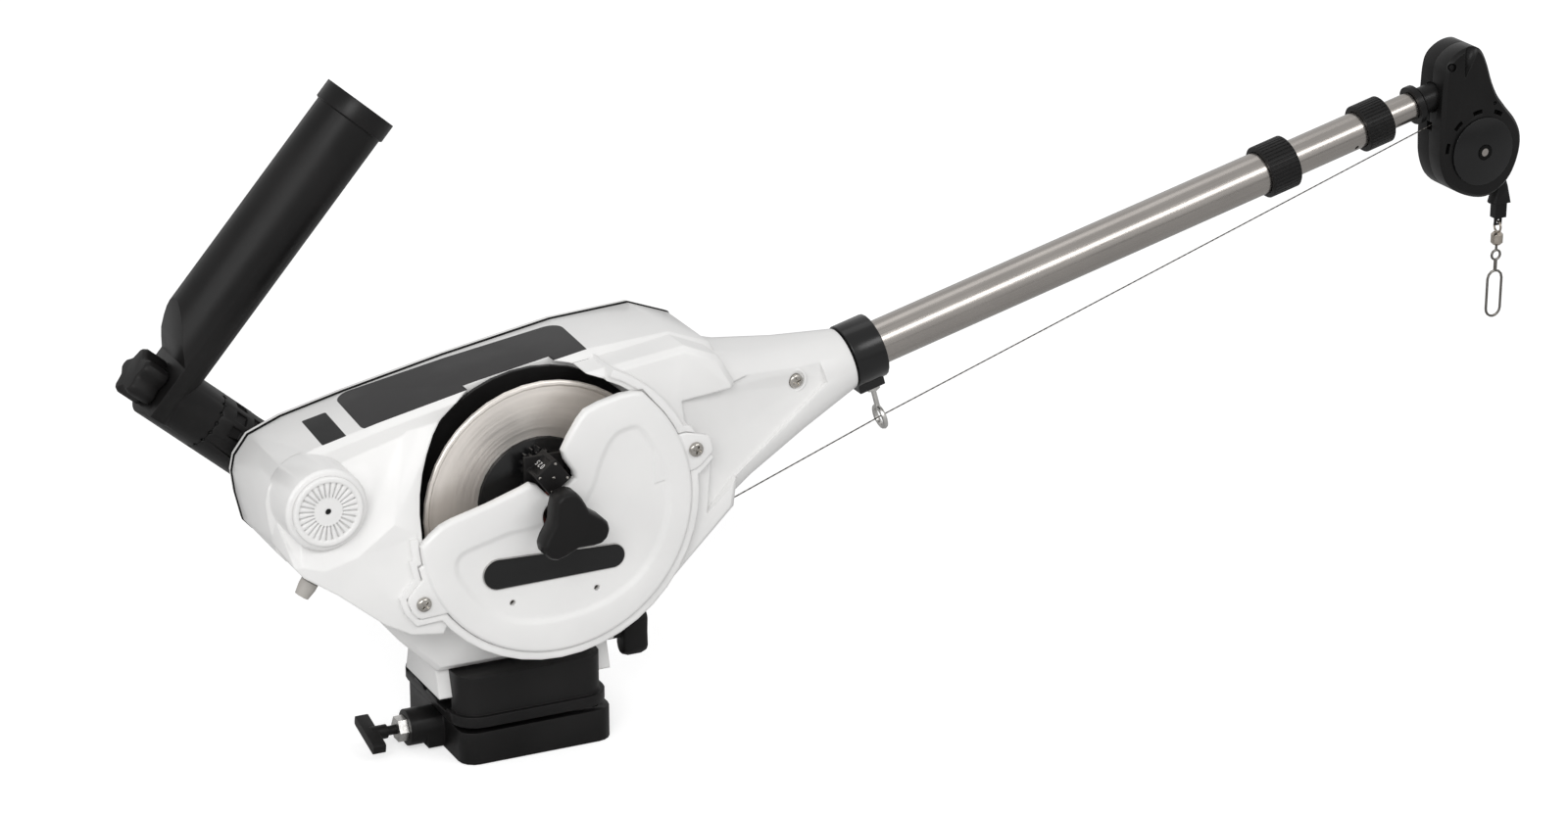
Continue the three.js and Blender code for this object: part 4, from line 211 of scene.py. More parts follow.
class SharedEffects:
    """The node groups that more than one finish uses."""

    def __init__(self) -> None:
        """Builds each group once."""
        self.grain = self._group(
            "fine_grain", {"Scale": "NodeSocketFloat"},
            {"Height": "NodeSocketFloat", "Tone": "NodeSocketFloat"}, self._fill_grain)
        self.lines = self._group(
            "brushed_lines", {"Vector": "NodeSocketVector"},
            {"Height": "NodeSocketFloat", "Tone": "NodeSocketFloat"}, self._fill_lines)
        self.edges = self._group(
            "soft_edges", {"Radius": "NodeSocketFloat"},
            {"Normal": "NodeSocketVector", "Edge": "NodeSocketFloat"}, self._fill_edges)
        self.panel = self._group(
            "rounded_panel",
            {"Vector": "NodeSocketVector", "Half Length": "NodeSocketFloat",
             "Half Width": "NodeSocketFloat", "Corner": "NodeSocketFloat"},
            {"Mask": "NodeSocketFloat"}, self._fill_panel)

    @staticmethod
    def _group(name: str, inputs: dict[str, str], outputs: dict[str, str],
               fill: Filler) -> bpy.types.NodeTree:
        """Makes a node group with named sockets.

        Args:
            name: The group's name.
            inputs: Socket types of its inputs by name.
            outputs: Socket types of its outputs by name.
            fill: Wires the inside.

        Returns:
            The group's tree.
        """
        tree = bpy.data.node_groups.new(name, "ShaderNodeTree")
        for title, kind in inputs.items():
            tree.interface.new_socket(title, in_out="INPUT", socket_type=kind)
        for title, kind in outputs.items():
            tree.interface.new_socket(title, in_out="OUTPUT", socket_type=kind)
        sheet = Sheet(tree)
        fill(sheet, sheet.node("GroupInput"), sheet.node("GroupOutput"))
        return tree

    @staticmethod
    def _fill_grain(sheet: Sheet, given: bpy.types.Node, result: bpy.types.Node) -> None:
        """Wires a fine moulded grain and a broad uneven tone.

        Args:
            sheet: The group's tree.
            given: Its input node.
            result: Its output node.
        """
        place = sheet.node("TexCoord").outputs["Object"]
        fine = sheet.node("TexNoise")
        fine.inputs["Detail"].default_value = 3.0
        fine.inputs["Roughness"].default_value = 0.6
        broad = sheet.node("TexNoise")
        broad.inputs["Scale"].default_value = 14.0
        broad.inputs["Detail"].default_value = 4.0
        for texture in (fine, broad):
            sheet.join(place, texture.inputs["Vector"])
        sheet.join(given.outputs["Scale"], fine.inputs["Scale"])
        sheet.join(fine.outputs[0], result.inputs["Height"])
        sheet.join(sheet.ramp(broad.outputs[0], 0.3, 0.7), result.inputs["Tone"])

    @staticmethod
    def _fill_lines(sheet: Sheet, given: bpy.types.Node, result: bpy.types.Node) -> None:
        """Wires fine lines and broader streaks from a stretched place.

        Args:
            sheet: The group's tree.
            given: Its input node.
            result: Its output node.
        """
        for title, scale, detail, low, high in (
                ("Height", 1.0, 2.0, 0.25, 0.75), ("Tone", 0.16, 3.0, 0.3, 0.7)):
            texture = sheet.node("TexNoise")
            texture.inputs["Scale"].default_value = scale
            texture.inputs["Detail"].default_value = detail
            sheet.join(given.outputs["Vector"], texture.inputs["Vector"])
            sheet.join(sheet.ramp(texture.outputs[0], low, high), result.inputs[title])

    @staticmethod
    def _fill_edges(sheet: Sheet, given: bpy.types.Node, result: bpy.types.Node) -> None:
        """Wires a normal that rounds hard edges, and how near an edge a point is.

        Args:
            sheet: The group's tree.
            given: Its input node.
            result: Its output node.
        """
        rounded = sheet.node("Bevel", samples=4)
        sheet.join(given.outputs["Radius"], rounded.inputs["Radius"])
        flat = sheet.node("NewGeometry").outputs["Normal"]
        facing = sheet.node("VectorMath", operation="DOT_PRODUCT")
        sheet.join(rounded.outputs[0], facing.inputs[0])
        sheet.join(flat, facing.inputs[1])
        sheet.join(rounded.outputs[0], result.inputs["Normal"])
        sheet.join(sheet.ramp(facing.outputs["Value"], 0.99, 0.85), result.inputs["Edge"])

    @staticmethod
    def _fill_panel(sheet: Sheet, given: bpy.types.Node, result: bpy.types.Node) -> None:
        """Wires the mask of a rectangle with round corners about the given place.

        Args:
            sheet: The group's tree.
            given: Its input node.
            result: Its output node.
        """
        split = sheet.node("SeparateXYZ")
        sheet.join(given.outputs["Vector"], split.inputs[0])
        over = []
        for axis, half in (("X", "Half Length"), ("Y", "Half Width")):
            away = sheet.math("ABSOLUTE", split.outputs[axis])
            core = sheet.math("SUBTRACT", given.outputs[half], given.outputs["Corner"])
            over.append(sheet.math("MAXIMUM", sheet.math("SUBTRACT", away, core), 0.0))
        squares = [sheet.math("MULTIPLY", side, side) for side in over]
        reach = sheet.math("SQRT", sheet.math("ADD", *squares))
        left = sheet.math("SUBTRACT", given.outputs["Corner"], reach)
        sheet.join(sheet.ramp(left, 0.0, 0.3 * MM), result.inputs["Mask"])


effects = SharedEffects()


def place_group(sheet: Sheet, group: bpy.types.NodeTree, **values: object) -> bpy.types.Node:
    """Places a shared group in a material.

    Args:
        sheet: The material's tree.
        group: The group's tree.
        **values: Inputs by name, with _ for a space.

    Returns:
        The group's node.
    """
    made = sheet.node("Group", node_tree=group)
    for name, value in values.items():
        sheet.feed(made.inputs[name.replace("_", " ")], value)
    return made


def start_material(name: str) -> tuple[bpy.types.Material, Sheet, bpy.types.Node]:
    """Makes a material with a bare shader.

    Args:
        name: The material's name.

    Returns:
        The material, its sheet and its shader node.
    """
    material = bpy.data.materials.new(name)
    material.use_nodes = True
    sheet = Sheet(material.node_tree)
    return material, sheet, material.node_tree.nodes["Principled BSDF"]


def bump(sheet: Sheet, height: bpy.types.NodeSocket, depth: float,
         normal: Optional[bpy.types.NodeSocket] = None) -> bpy.types.NodeSocket:
    """Adds a bump.

    Args:
        sheet: The material's tree.
        height: The height's socket, 0 to 1.
        depth: Depth of the relief in metres.
        normal: A normal that the relief lies on.

    Returns:
        The bumped normal's socket.
    """
    made = sheet.node("Bump")
    made.inputs["Strength"].default_value = 1.0
    made.inputs["Distance"].default_value = depth
    sheet.join(height, made.inputs["Height"])
    if normal is not None:
        sheet.join(normal, made.inputs["Normal"])
    return made.outputs[0]


@dataclass(frozen=True)
class FlatLabel:
    """A printed rectangle with round corners, seen from above, in millimetres."""

    centre: Pair
    half_length: float
    half_width: float
    corner: float
    turn: float
    colour: Colour
    front: float = -46.5
    upward: float = 0.75

    def mask(self, sheet: Sheet) -> bpy.types.NodeSocket:
        """Wires the label's mask on faces that look up.

        Args:
            sheet: The material's tree.

        Returns:
            The mask's socket.
        """
        place = sheet.node("TexCoord").outputs["Object"]
        centred = sheet.node("VectorMath", operation="SUBTRACT")
        centred.inputs[1].default_value = (self.centre[0] * MM, self.centre[1] * MM, 0.0)
        sheet.join(place, centred.inputs[0])
        turned = sheet.node("VectorRotate", rotation_type="Z_AXIS")
        turned.inputs["Angle"].default_value = math.radians(self.turn)
        sheet.join(centred.outputs[0], turned.inputs["Vector"])
        panel = place_group(
            sheet, effects.panel, Vector=turned.outputs[0], Half_Length=self.half_length * MM,
            Half_Width=self.half_width * MM, Corner=self.corner * MM)
        facing = sheet.node("SeparateXYZ")
        sheet.join(sheet.node("NewGeometry").outputs["True Normal"], facing.inputs[0])
        upward = sheet.math("GREATER_THAN", facing.outputs["Z"], self.upward)
        split = sheet.node("SeparateXYZ")
        sheet.join(place, split.inputs[0])
        behind = sheet.math("GREATER_THAN", split.outputs["Y"], self.front * MM)
        return sheet.math("MULTIPLY", panel.outputs["Mask"], sheet.math("MULTIPLY", upward, behind))


@dataclass(frozen=True)
class MouldedPlastic:
    """Moulded plastic: grain, uneven gloss, rounded edges whose colour is lightened as a painted highlight.
    """

    name: str
    colour: Colour
    shade: Colour
    roughness: float
    grain: float
    grain_depth: float
    edge: float
    coat: float = 0.0
    specular: float = 0.5
    labels: tuple[FlatLabel, ...] = ()

    EDGE_HIGHLIGHT_SHARE = 0.5
    EDGE_HIGHLIGHT = (0.02, 1.12)
    ROUGHNESS_SHARES = (0.86, 1.12)
    COAT_ROUGHNESS = 0.12
    LABEL_ROUGHER = 0.3

    def build(self) -> bpy.types.Material:
        """Wires the material.

        Returns:
            The material.
        """
        material, sheet, shader = start_material(self.name)
        grain = place_group(sheet, effects.grain, Scale=self.grain)
        edges = place_group(sheet, effects.edges, Radius=self.edge * MM)
        colour = sheet.blend(grain.outputs["Tone"], self.shade, self.colour)
        # The colour is lightened along rounded edges: a painted highlight.
        lift, gain = self.EDGE_HIGHLIGHT
        highlight_colour = tuple(min(1.0, lift + gain * part) for part in self.colour)
        edge_highlight = sheet.math("MULTIPLY", edges.outputs["Edge"], self.EDGE_HIGHLIGHT_SHARE)
        colour = sheet.blend(edge_highlight, colour, highlight_colour)
        low, high = (self.roughness * share for share in self.ROUGHNESS_SHARES)
        rough = sheet.ramp(grain.outputs["Tone"], 0.0, 1.0, low, high)
        shader.inputs["Coat Weight"].default_value = self.coat
        for label in self.labels:
            mask = label.mask(sheet)
            colour = sheet.blend(mask, colour, label.colour)
            rough = sheet.math("ADD", rough, sheet.math("MULTIPLY", mask, self.LABEL_ROUGHER))
            bare = shader.inputs["Coat Weight"]
            coat = bare.links[0].from_socket if bare.is_linked else self.coat
            sheet.join(sheet.math("MULTIPLY", coat, sheet.math("SUBTRACT", 1.0, mask)), bare)
        sheet.join(colour, shader.inputs["Base Color"])
        sheet.join(rough, shader.inputs["Roughness"])
        shader.inputs["Specular IOR Level"].default_value = self.specular
        shader.inputs["Coat Roughness"].default_value = self.COAT_ROUGHNESS
        normal = bump(sheet, grain.outputs["Height"], self.grain_depth * MM, edges.outputs["Normal"])
        sheet.join(normal, shader.inputs["Normal"])
        return material


@dataclass(frozen=True)
class WorkedMetal:
    """Brushed, turned or plain metal with fine lines and small stains."""

    name: str
    colour: Colour
    shade: Colour
    roughness: float
    lay: Lay
    depth: float = 0.02
    edge: float = 0.5
    metallic: float = 1.0
    fan: float = 0.0

    TURNED_SCALES = (1500.0, 9.0)
    BOOM_SCALES = (12.0, 1400.0, 1400.0)
    PLAIN_SCALES = (700.0, 700.0, 700.0)
    STAIN_SCALE = 220.0
    STAIN_SHARE = 0.4
    ROUGHNESS_SHARES = (0.8, 1.25)
    QUARTER_TURN = 0.25

    @staticmethod
    def _from_reel(sheet: Sheet) -> bpy.types.NodeSocket:
        """Wires the place as seen from the reel's axis.

        Args:
            sheet: The material's tree.

        Returns:
            The place's socket.
        """
        centred = sheet.node("VectorMath", operation="SUBTRACT")
        centred.inputs[1].default_value = tuple(MM * part for part in REEL_AXIS)
        sheet.join(sheet.node("TexCoord").outputs["Object"], centred.inputs[0])
        return centred.outputs[0]

    def _stretched(self, sheet: Sheet) -> bpy.types.NodeSocket:
        """Wires the place stretched along the metal's lines.

        Args:
            sheet: The material's tree.

        Returns:
            The stretched place's socket.
        """
        if self.lay is Lay.TURNED:
            across, along = self.TURNED_SCALES
            split = sheet.node("SeparateXYZ")
            sheet.join(self._from_reel(sheet), split.inputs[0])
            squares = [sheet.math("MULTIPLY", split.outputs[axis], split.outputs[axis]) for axis in "XZ"]
            radius = sheet.math("SQRT", sheet.math("ADD", *squares))
            made = sheet.node("CombineXYZ")
            sheet.join(sheet.math("MULTIPLY", radius, across), made.inputs[0])
            for axis, target in (("X", 1), ("Z", 2)):
                sheet.join(sheet.math("MULTIPLY", split.outputs[axis], along), made.inputs[target])
            return made.outputs[0]
        place = sheet.node("TexCoord").outputs["Object"]
        mapped = sheet.node("Mapping")
        mapped.inputs["Scale"].default_value = self.PLAIN_SCALES
        if self.lay is Lay.ALONG_BOOM:
            level = sheet.node("VectorRotate", rotation_type="Y_AXIS")
            level.inputs["Angle"].default_value = BOOM_ANGLE
            sheet.join(place, level.inputs["Vector"])
            place = level.outputs[0]
            mapped.inputs["Scale"].default_value = self.BOOM_SCALES
        sheet.join(place, mapped.inputs["Vector"])
        return mapped.outputs[0]

    def build(self) -> bpy.types.Material:
        """Wires the material.

        Returns:
            The material.
        """
        material, sheet, shader = start_material(self.name)
        lines = place_group(sheet, effects.lines, Vector=self._stretched(sheet))
        edges = place_group(sheet, effects.edges, Radius=self.edge * MM)
        stains = place_group(sheet, effects.grain, Scale=self.STAIN_SCALE)
        tone = sheet.math("MULTIPLY", lines.outputs["Tone"], 1.0 - self.STAIN_SHARE)
        stain = sheet.math("MULTIPLY", stains.outputs["Tone"], self.STAIN_SHARE)
        tone = sheet.math("ADD", tone, stain)
        sheet.join(sheet.blend(tone, self.shade, self.colour), shader.inputs["Base Color"])
        low, high = (self.roughness * share for share in self.ROUGHNESS_SHARES)
        rough = sheet.ramp(lines.outputs["Height"], 0.0, 1.0, low, high)
        sheet.join(rough, shader.inputs["Roughness"])
        shader.inputs["Metallic"].default_value = self.metallic
        if self.fan:
            shader.inputs["Anisotropic"].default_value = self.fan
            shader.inputs["Anisotropic Rotation"].default_value = self.QUARTER_TURN
            around = sheet.node("VectorMath", operation="CROSS_PRODUCT")
            around.inputs[1].default_value = (0.0, 1.0, 0.0)
            sheet.join(self._from_reel(sheet), around.inputs[0])
            carried = sheet.node(
                "VectorTransform", vector_type="VECTOR", convert_from="OBJECT", convert_to="WORLD")
            sheet.join(around.outputs[0], carried.inputs[0])
            sheet.join(carried.outputs[0], shader.inputs["Tangent"])
        normal = bump(sheet, lines.outputs["Height"], self.depth * MM, edges.outputs["Normal"])
        sheet.join(normal, shader.inputs["Normal"])
        return material


@dataclass(frozen=True)
class TwistedWire:
    """Laid steel cable: slanting strands that catch the light, coloured with a painted highlight on each
    strand and painted shade between strands.
    """

    name: str
    colour: Colour
    shade: Colour
    pitch: float

    SLANT = 0.6
    WAVER = 0.4
    METALLIC = 0.8
    ROUGHNESS = (0.5, 0.34)
    DEPTH = 0.15

    def build(self) -> bpy.types.Material:
        """Wires the material.

        Returns:
            The material.
        """
        material, sheet, shader = start_material(self.name)
        mapped = sheet.node("Mapping")
        mapped.inputs["Rotation"].default_value = (0.0, BOOM_ANGLE, self.SLANT)
        sheet.join(sheet.node("TexCoord").outputs["Object"], mapped.inputs["Vector"])
        strands = sheet.node("TexWave", wave_type="BANDS", bands_direction="X")
        strands.inputs["Scale"].default_value = 1.0 / (self.pitch * MM) / (2.0 * math.pi)
        strands.inputs["Distortion"].default_value = self.WAVER
        sheet.join(mapped.outputs[0], strands.inputs["Vector"])
        # Strand colour: a painted highlight on each strand's crown and painted shade in the grooves between.
        sheet.join(sheet.blend(strands.outputs[1], self.shade, self.colour), shader.inputs["Base Color"])
        shader.inputs["Metallic"].default_value = self.METALLIC
        rough = sheet.ramp(strands.outputs[1], 0.0, 1.0, *self.ROUGHNESS)
        sheet.join(rough, shader.inputs["Roughness"])
        sheet.join(bump(sheet, strands.outputs[1], self.DEPTH * MM), shader.inputs["Normal"])
        return material


TOP_LABEL = FlatLabel((-37.0, -10.0), 97.0, 43.5, 14.0, 3.0, (0.02, 0.019, 0.0195))
SMALL_LABEL = FlatLabel((-158.0, -13.0), 10.3, 29.0, 2.0, 3.0, (0.008, 0.008, 0.008))

FINISHES = {
    "white_shell": MouldedPlastic(
        "shell_white", (0.80, 0.795, 0.785), (0.765, 0.76, 0.752), 0.34, 900.0, 0.006, 2.2, 0.25,
        labels=(TOP_LABEL, SMALL_LABEL)),
    "black_plastic": MouldedPlastic(
        "plastic_black", (0.0078, 0.0074, 0.0074), (0.0045, 0.0043, 0.0043), 0.38, 1500.0, 0.02, 0.8,
        specular=0.2),
    "soft_black": MouldedPlastic(
        "plastic_soft_black", (0.0075, 0.0069, 0.0069), (0.0048, 0.0045, 0.0045), 0.46, 1800.0, 0.03, 1.2,
        specular=0.2),
    "gloss_black": MouldedPlastic(
        "plastic_gloss_black", (0.006, 0.006, 0.0062), (0.004, 0.004, 0.0042), 0.22, 500.0, 0.004, 0.6,
        specular=0.35),
    "stainless": WorkedMetal(
        "stainless_brushed", (0.40, 0.375, 0.352), (0.335, 0.313, 0.294), 0.24, Lay.ALONG_BOOM, 0.0006),
    "steel": WorkedMetal("steel_plain", (0.50, 0.49, 0.475), (0.36, 0.355, 0.35), 0.38, Lay.PLAIN),
    "zinc": WorkedMetal("zinc_plated", (0.62, 0.61, 0.59), (0.5, 0.49, 0.475), 0.32, Lay.PLAIN),
    "brass": WorkedMetal("brass_plain", (0.72, 0.5, 0.2), (0.55, 0.37, 0.14), 0.32, Lay.PLAIN),
    "white_gear": MouldedPlastic(
        "gear_white", (0.68, 0.65, 0.58), (0.6, 0.575, 0.51), 0.45, 900.0, 0.01, 0.4),
    "grey_rubber": MouldedPlastic(
        "rubber_grey", (0.47, 0.45, 0.42), (0.4, 0.38, 0.355), 0.62, 1600.0, 0.03, 0.8),
    "red_friction": MouldedPlastic(
        "friction_red", (0.17, 0.03, 0.022), (0.1, 0.02, 0.016), 0.75, 2200.0, 0.06, 0.4),
    "dark_cable": TwistedWire("cable_steel", (0.22, 0.205, 0.19), (0.06, 0.055, 0.05), 2.4),
    "disc_turned": WorkedMetal(
        "disc_turned", (0.98, 0.925, 0.87), (0.87, 0.82, 0.765), 0.4, Lay.TURNED, 0.003, 0.8, 0.8, 0.75),
    "dark_steel": WorkedMetal(
        "steel_dark", (0.52, 0.495, 0.46), (0.36, 0.345, 0.32), 0.2, Lay.PLAIN, 0.006, 0.3),
    "nickel": WorkedMetal(
        "nickel_plain", (0.50, 0.455, 0.40), (0.36, 0.32, 0.275), 0.26, Lay.PLAIN, 0.006, 0.3),
    "dark_wire": WorkedMetal(
        "wire_dark", (0.2, 0.19, 0.175), (0.13, 0.12, 0.11), 0.34, Lay.PLAIN, 0.01, 0.2),
    "digit_white": MouldedPlastic(
        "digit_white", (0.62, 0.61, 0.6), (0.52, 0.51, 0.5), 0.5, 1500.0, 0.01, 0.1),
    # Black of the seam's gasket, also used as painted shade round the pulley bolt.
    "gasket_and_shade_black": MouldedPlastic(
        "gasket_and_shade_black", (0.004, 0.004, 0.004), (0.003, 0.003, 0.003), 0.7, 1500.0, 0.02, 0.3, specular=0.1),
}

materials = {name: finish.build() for name, finish in FINISHES.items()}

OWN_FINISHES = {
    "spool_disc": "disc_turned",
    "counter_gear": "gloss_black",
    "barrel_swivel": "nickel",
    "snap": "dark_wire",
}

ROUNDED = {
    "front_housing": 2.4, "back_cover": 2.0, "clutch_knob": 2.2, "wing_knob": 1.6, "rod_knob": 1.4,
    "rod_tube": 1.2, "rod_arm": 1.0, "mount_plate": 1.2, "swivel_track": 1.2, "head_front": 1.6,
    "head_rear": 1.6, "pull_pin": 0.9, "counter_body": 0.7, "boom_collar": 0.8,
}

WELD_GAP = 0.02
MERGE_GAP = 0.005
NEAR = 0.01
FLAT_ANGLE = math.radians(1.0)
SHARP_ANGLE = math.radians(25.0)
CORNER_ANGLE = math.radians(28.0)
SPLIT_ANGLE = math.radians(33.0)
FACING = 0.9
ORIGIN: Place = (0.0, 0.0, 0.0)
ALONG_Y: Place = (math.radians(90.0), 0.0, 0.0)

FaceTest = Callable[[bmesh.types.BMFace], bool]
EdgeTest = Callable[[bmesh.types.BMEdge], bool]
PlaceTest = Callable[[Vector], bool]


def front_of(node: str) -> Vector:
    """Gives the middle of a node's front side, in millimetres.

    Args:
        node: The node's name.

    Returns:
        The point.
    """
    low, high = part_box(node)
    return Vector(((low[0] + high[0]) / 2, low[1], (low[2] + high[2]) / 2)) / MM


class Bench:
    """Modelling operators, used as by hand."""

    @staticmethod
    def clear() -> None:
        """Deselects everything."""
        if bpy.context.object and bpy.context.object.mode != "OBJECT":
            bpy.ops.object.mode_set(mode="OBJECT")
        bpy.ops.object.select_all(action="DESELECT")

    @staticmethod
    def take(piece: bpy.types.Object) -> None:
        """Selects one piece and nothing else.

        Args:
            piece: The piece, which becomes the active one.
        """
        Bench.clear()
        bpy.context.view_layer.objects.active = piece
        piece.select_set(True)

    @staticmethod
    @contextmanager
    def editing(piece: bpy.types.Object) -> Iterator[None]:
        """Holds a piece in edit mode while a block runs.

        Args:
            piece: The piece.

        Yields:
            Nothing, once the piece is in edit mode.
        """
        Bench.take(piece)
        bpy.ops.object.mode_set(mode="EDIT")
        yield
        bpy.ops.object.mode_set(mode="OBJECT")

    @staticmethod
    def pick(piece: bpy.types.Object, test: FaceTest) -> None:
        """Selects faces of the piece that is being edited.

        Args:
            piece: The piece.
            test: Says which faces are selected.
        """
        mesh = bmesh.from_edit_mesh(piece.data)
        mesh.select_mode = {"FACE"}
        for face in mesh.faces:
            face.select_set(False)
        for face in [face for face in mesh.faces if test(face)]:
            face.select_set(True)
        mesh.select_flush_mode()
        bmesh.update_edit_mesh(piece.data)

    @staticmethod
    def pick_edges(piece: bpy.types.Object, test: EdgeTest) -> None:
        """Selects edges of the piece that is being edited.

        Args:
            piece: The piece.
            test: Says which edges are selected.
        """
        mesh = bmesh.from_edit_mesh(piece.data)
        mesh.select_mode = {"EDGE"}
        for face in mesh.faces:
            face.select_set(False)
        for edge in mesh.edges:
            edge.select_set(test(edge))
        mesh.select_flush_mode()
        bmesh.update_edit_mesh(piece.data)

    @staticmethod
    def turn_outwards() -> None:
        """Turns all faces of the edited piece outwards."""
        bpy.ops.mesh.select_all(action="SELECT")
        bpy.ops.mesh.normals_make_consistent(inside=False)

    @staticmethod
    def shift(depth: float) -> None:
        """Moves what is selected along Y, in millimetres."""
        bpy.ops.transform.translate(value=(0.0, depth * MM, 0.0))

    @staticmethod
    def rod(place: Sequence[float], radius: float, depth: float, sides: int, seated: bool = True,
            turn: Sequence[float] = ALONG_Y) -> bpy.types.Object:
        """Adds a round rod, along Y unless it is turned another way.

        Args:
            place: Its middle, in millimetres.
            radius: Its radius.
            depth: Its length.
            sides: Its sides.
            seated: Whether its mesh takes its place as well as its turn.
            turn: Its turn from Z, in radians.

        Returns:
            The rod, in object mode.
        """
        Bench.clear()
        bpy.ops.mesh.primitive_cylinder_add(
            vertices=sides, radius=radius * MM, depth=depth * MM, location=Vector(place) * MM, rotation=turn)
        bpy.ops.object.transform_apply(location=seated, rotation=True, scale=True)
        return bpy.context.object

    @staticmethod
    def bar(place: Sequence[float], size: Sequence[float], turn: float = 0.0) -> bpy.types.Object:
        """Adds a straight bar.

        Args:
            place: Its middle, in millimetres.
            size: Its lengths along its axes.
            turn: Its turn about Y, in degrees.

        Returns:
            The bar, in object mode.
        """
        Bench.clear()
        bpy.ops.mesh.primitive_cube_add(
            size=1.0, location=Vector(place) * MM, scale=Vector(size) * MM,
            rotation=(0.0, math.radians(turn), 0.0))
        bpy.ops.object.transform_apply(location=True, rotation=True, scale=True)
        return bpy.context.object

    @staticmethod
    def face(outline: Sequence[Pair], depth: float) -> bpy.types.Object:
        """Lays a flat face across Y with the given outline.

        Args:
            outline: Places in x and z, anticlockwise as seen from the front, in millimetres.
            depth: The face's y.

        Returns:
            The face, in object mode.
        """
        Bench.clear()
        bpy.ops.mesh.primitive_circle_add(vertices=len(outline), radius=MM, fill_type="NGON")
        piece = bpy.context.object
        mesh = bmesh.new()
        mesh.from_mesh(piece.data)
        mesh.faces.ensure_lookup_table()
        corners = [loop.vert for loop in mesh.faces[0].loops]
        for vertex, (x, z) in zip(corners, outline):
            vertex.co = (x * MM, depth * MM, z * MM)
        mesh.faces[0].normal_update()
        if mesh.faces[0].normal.y > 0.0:
            mesh.faces[0].normal_flip()
        mesh.to_mesh(piece.data)
        mesh.free()
        return piece

    @staticmethod
    def slab(outline: Sequence[Pair], front: float, back: float, edge: float,
             segments: int) -> bpy.types.Object:
        """Models a plate across Y with a rounded front edge.

        Args:
            outline: Places in x and z, in millimetres.
            front: The y of its front.
            back: The y of its back.
            edge: Radius of the front edge.
            segments: Steps of the rounding.

        Returns:
            The plate, in object mode.
        """
        piece = Bench.face(outline, front)
        with Bench.editing(piece):
            Bench.pick(piece, lambda face: True)
            bpy.ops.mesh.extrude_region_move(
                TRANSFORM_OT_translate={"value": (0.0, (back - front) * MM, 0.0)})
            Bench.turn_outwards()
        limit = (front + NEAR) * MM
        Bench.round_edges(piece, lambda place: place.y < limit, edge, segments)
        return piece

    @staticmethod
    def round_edges(piece: bpy.types.Object, test: PlaceTest, width: float, segments: int) -> None:
        """Rounds the sharp edges whose two ends pass a test.

        Args:
            piece: The piece, in object mode.
            test: Says of a place in the mesh whether its edges are rounded.
            width: Width of the rounding, in millimetres.
            segments: Its steps.
        """
        def chosen(edge: bmesh.types.BMEdge) -> bool:
            """Says whether an edge is sharp and passes the test at both ends."""
            passed = all(test(vertex.co) for vertex in edge.verts)
            return passed and edge.calc_face_angle(0.0) > SHARP_ANGLE

        with Bench.editing(piece):
            Bench.pick_edges(piece, chosen)
            bpy.ops.mesh.bevel(
                offset=width * MM, segments=segments, affect="EDGES", clamp_overlap=True)

    @staticmethod
    def round_outline(piece: bpy.types.Object, test: PlaceTest, share: float, segments: int) -> None:
        """Rounds the corners of an outline that runs along Y.

        Args:
            piece: The piece, in object mode.
            test: Says of an edge's middle whether it belongs to the outline.
            share: Percent of the neighbouring sides that each corner takes.
            segments: Steps of a corner.
        """
        least, most = math.radians(4.0), math.radians(70.0)

        def chosen(edge: bmesh.types.BMEdge) -> bool:
            """Says whether an edge runs along Y at a corner of the outline.

            Args:
                edge: The edge.

            Returns:
                The answer.
            """
            first, last = (vertex.co for vertex in edge.verts)
            along = abs(last.y - first.y) > 0.5 * (last - first).length
            return along and least < edge.calc_face_angle(0.0) < most and test((first + last) / 2)

        with Bench.editing(piece):
            Bench.pick_edges(piece, chosen)
            bpy.ops.mesh.bevel(offset_type="PERCENT", offset_pct=share, segments=segments, affect="EDGES")

    @staticmethod
    def rounding(piece: bpy.types.Object, width: float) -> bpy.types.Modifier:
        """Gives a piece a modifier that rounds its hard edges.

        Args:
            piece: The piece.
            width: Width of the rounding, in millimetres.

        Returns:
            The modifier.
        """
        rounded = piece.modifiers.new("rounded", "BEVEL")
        rounded.limit_method = "ANGLE"
        rounded.angle_limit = CORNER_ANGLE
        rounded.width = width * MM
        rounded.segments = 3
        rounded.harden_normals = False
        return rounded

    @staticmethod
    def subtract(piece: bpy.types.Object, tool: bpy.types.Object) -> None:
        """Cuts one piece with another, which is used up.

        Args:
            piece: The piece that stays.
            tool: The piece that cuts.
        """
        Bench.take(piece)
        cut = piece.modifiers.new("cut", "BOOLEAN")
        cut.operation = "DIFFERENCE"
        cut.solver = "EXACT"
        cut.object = tool
        bpy.ops.object.modifier_apply(modifier=cut.name)
        bpy.data.objects.remove(tool)

    @staticmethod
    def join(piece: bpy.types.Object, others: Sequence[bpy.types.Object]) -> None:
        """Joins pieces into the first.

        Args:
            piece: The piece that stays.
            others: The pieces that it takes in.
        """
        Bench.take(piece)
        for part in others:
            part.select_set(True)
        bpy.ops.object.join()

    @staticmethod
    def copy(master: bpy.types.Object) -> bpy.types.Object:
        """Copies a piece with a mesh of its own.

        Args:
            master: The piece.

        Returns:
            The copy, in object mode.
        """
        Bench.take(master)
        bpy.ops.object.duplicate()
        return bpy.context.object

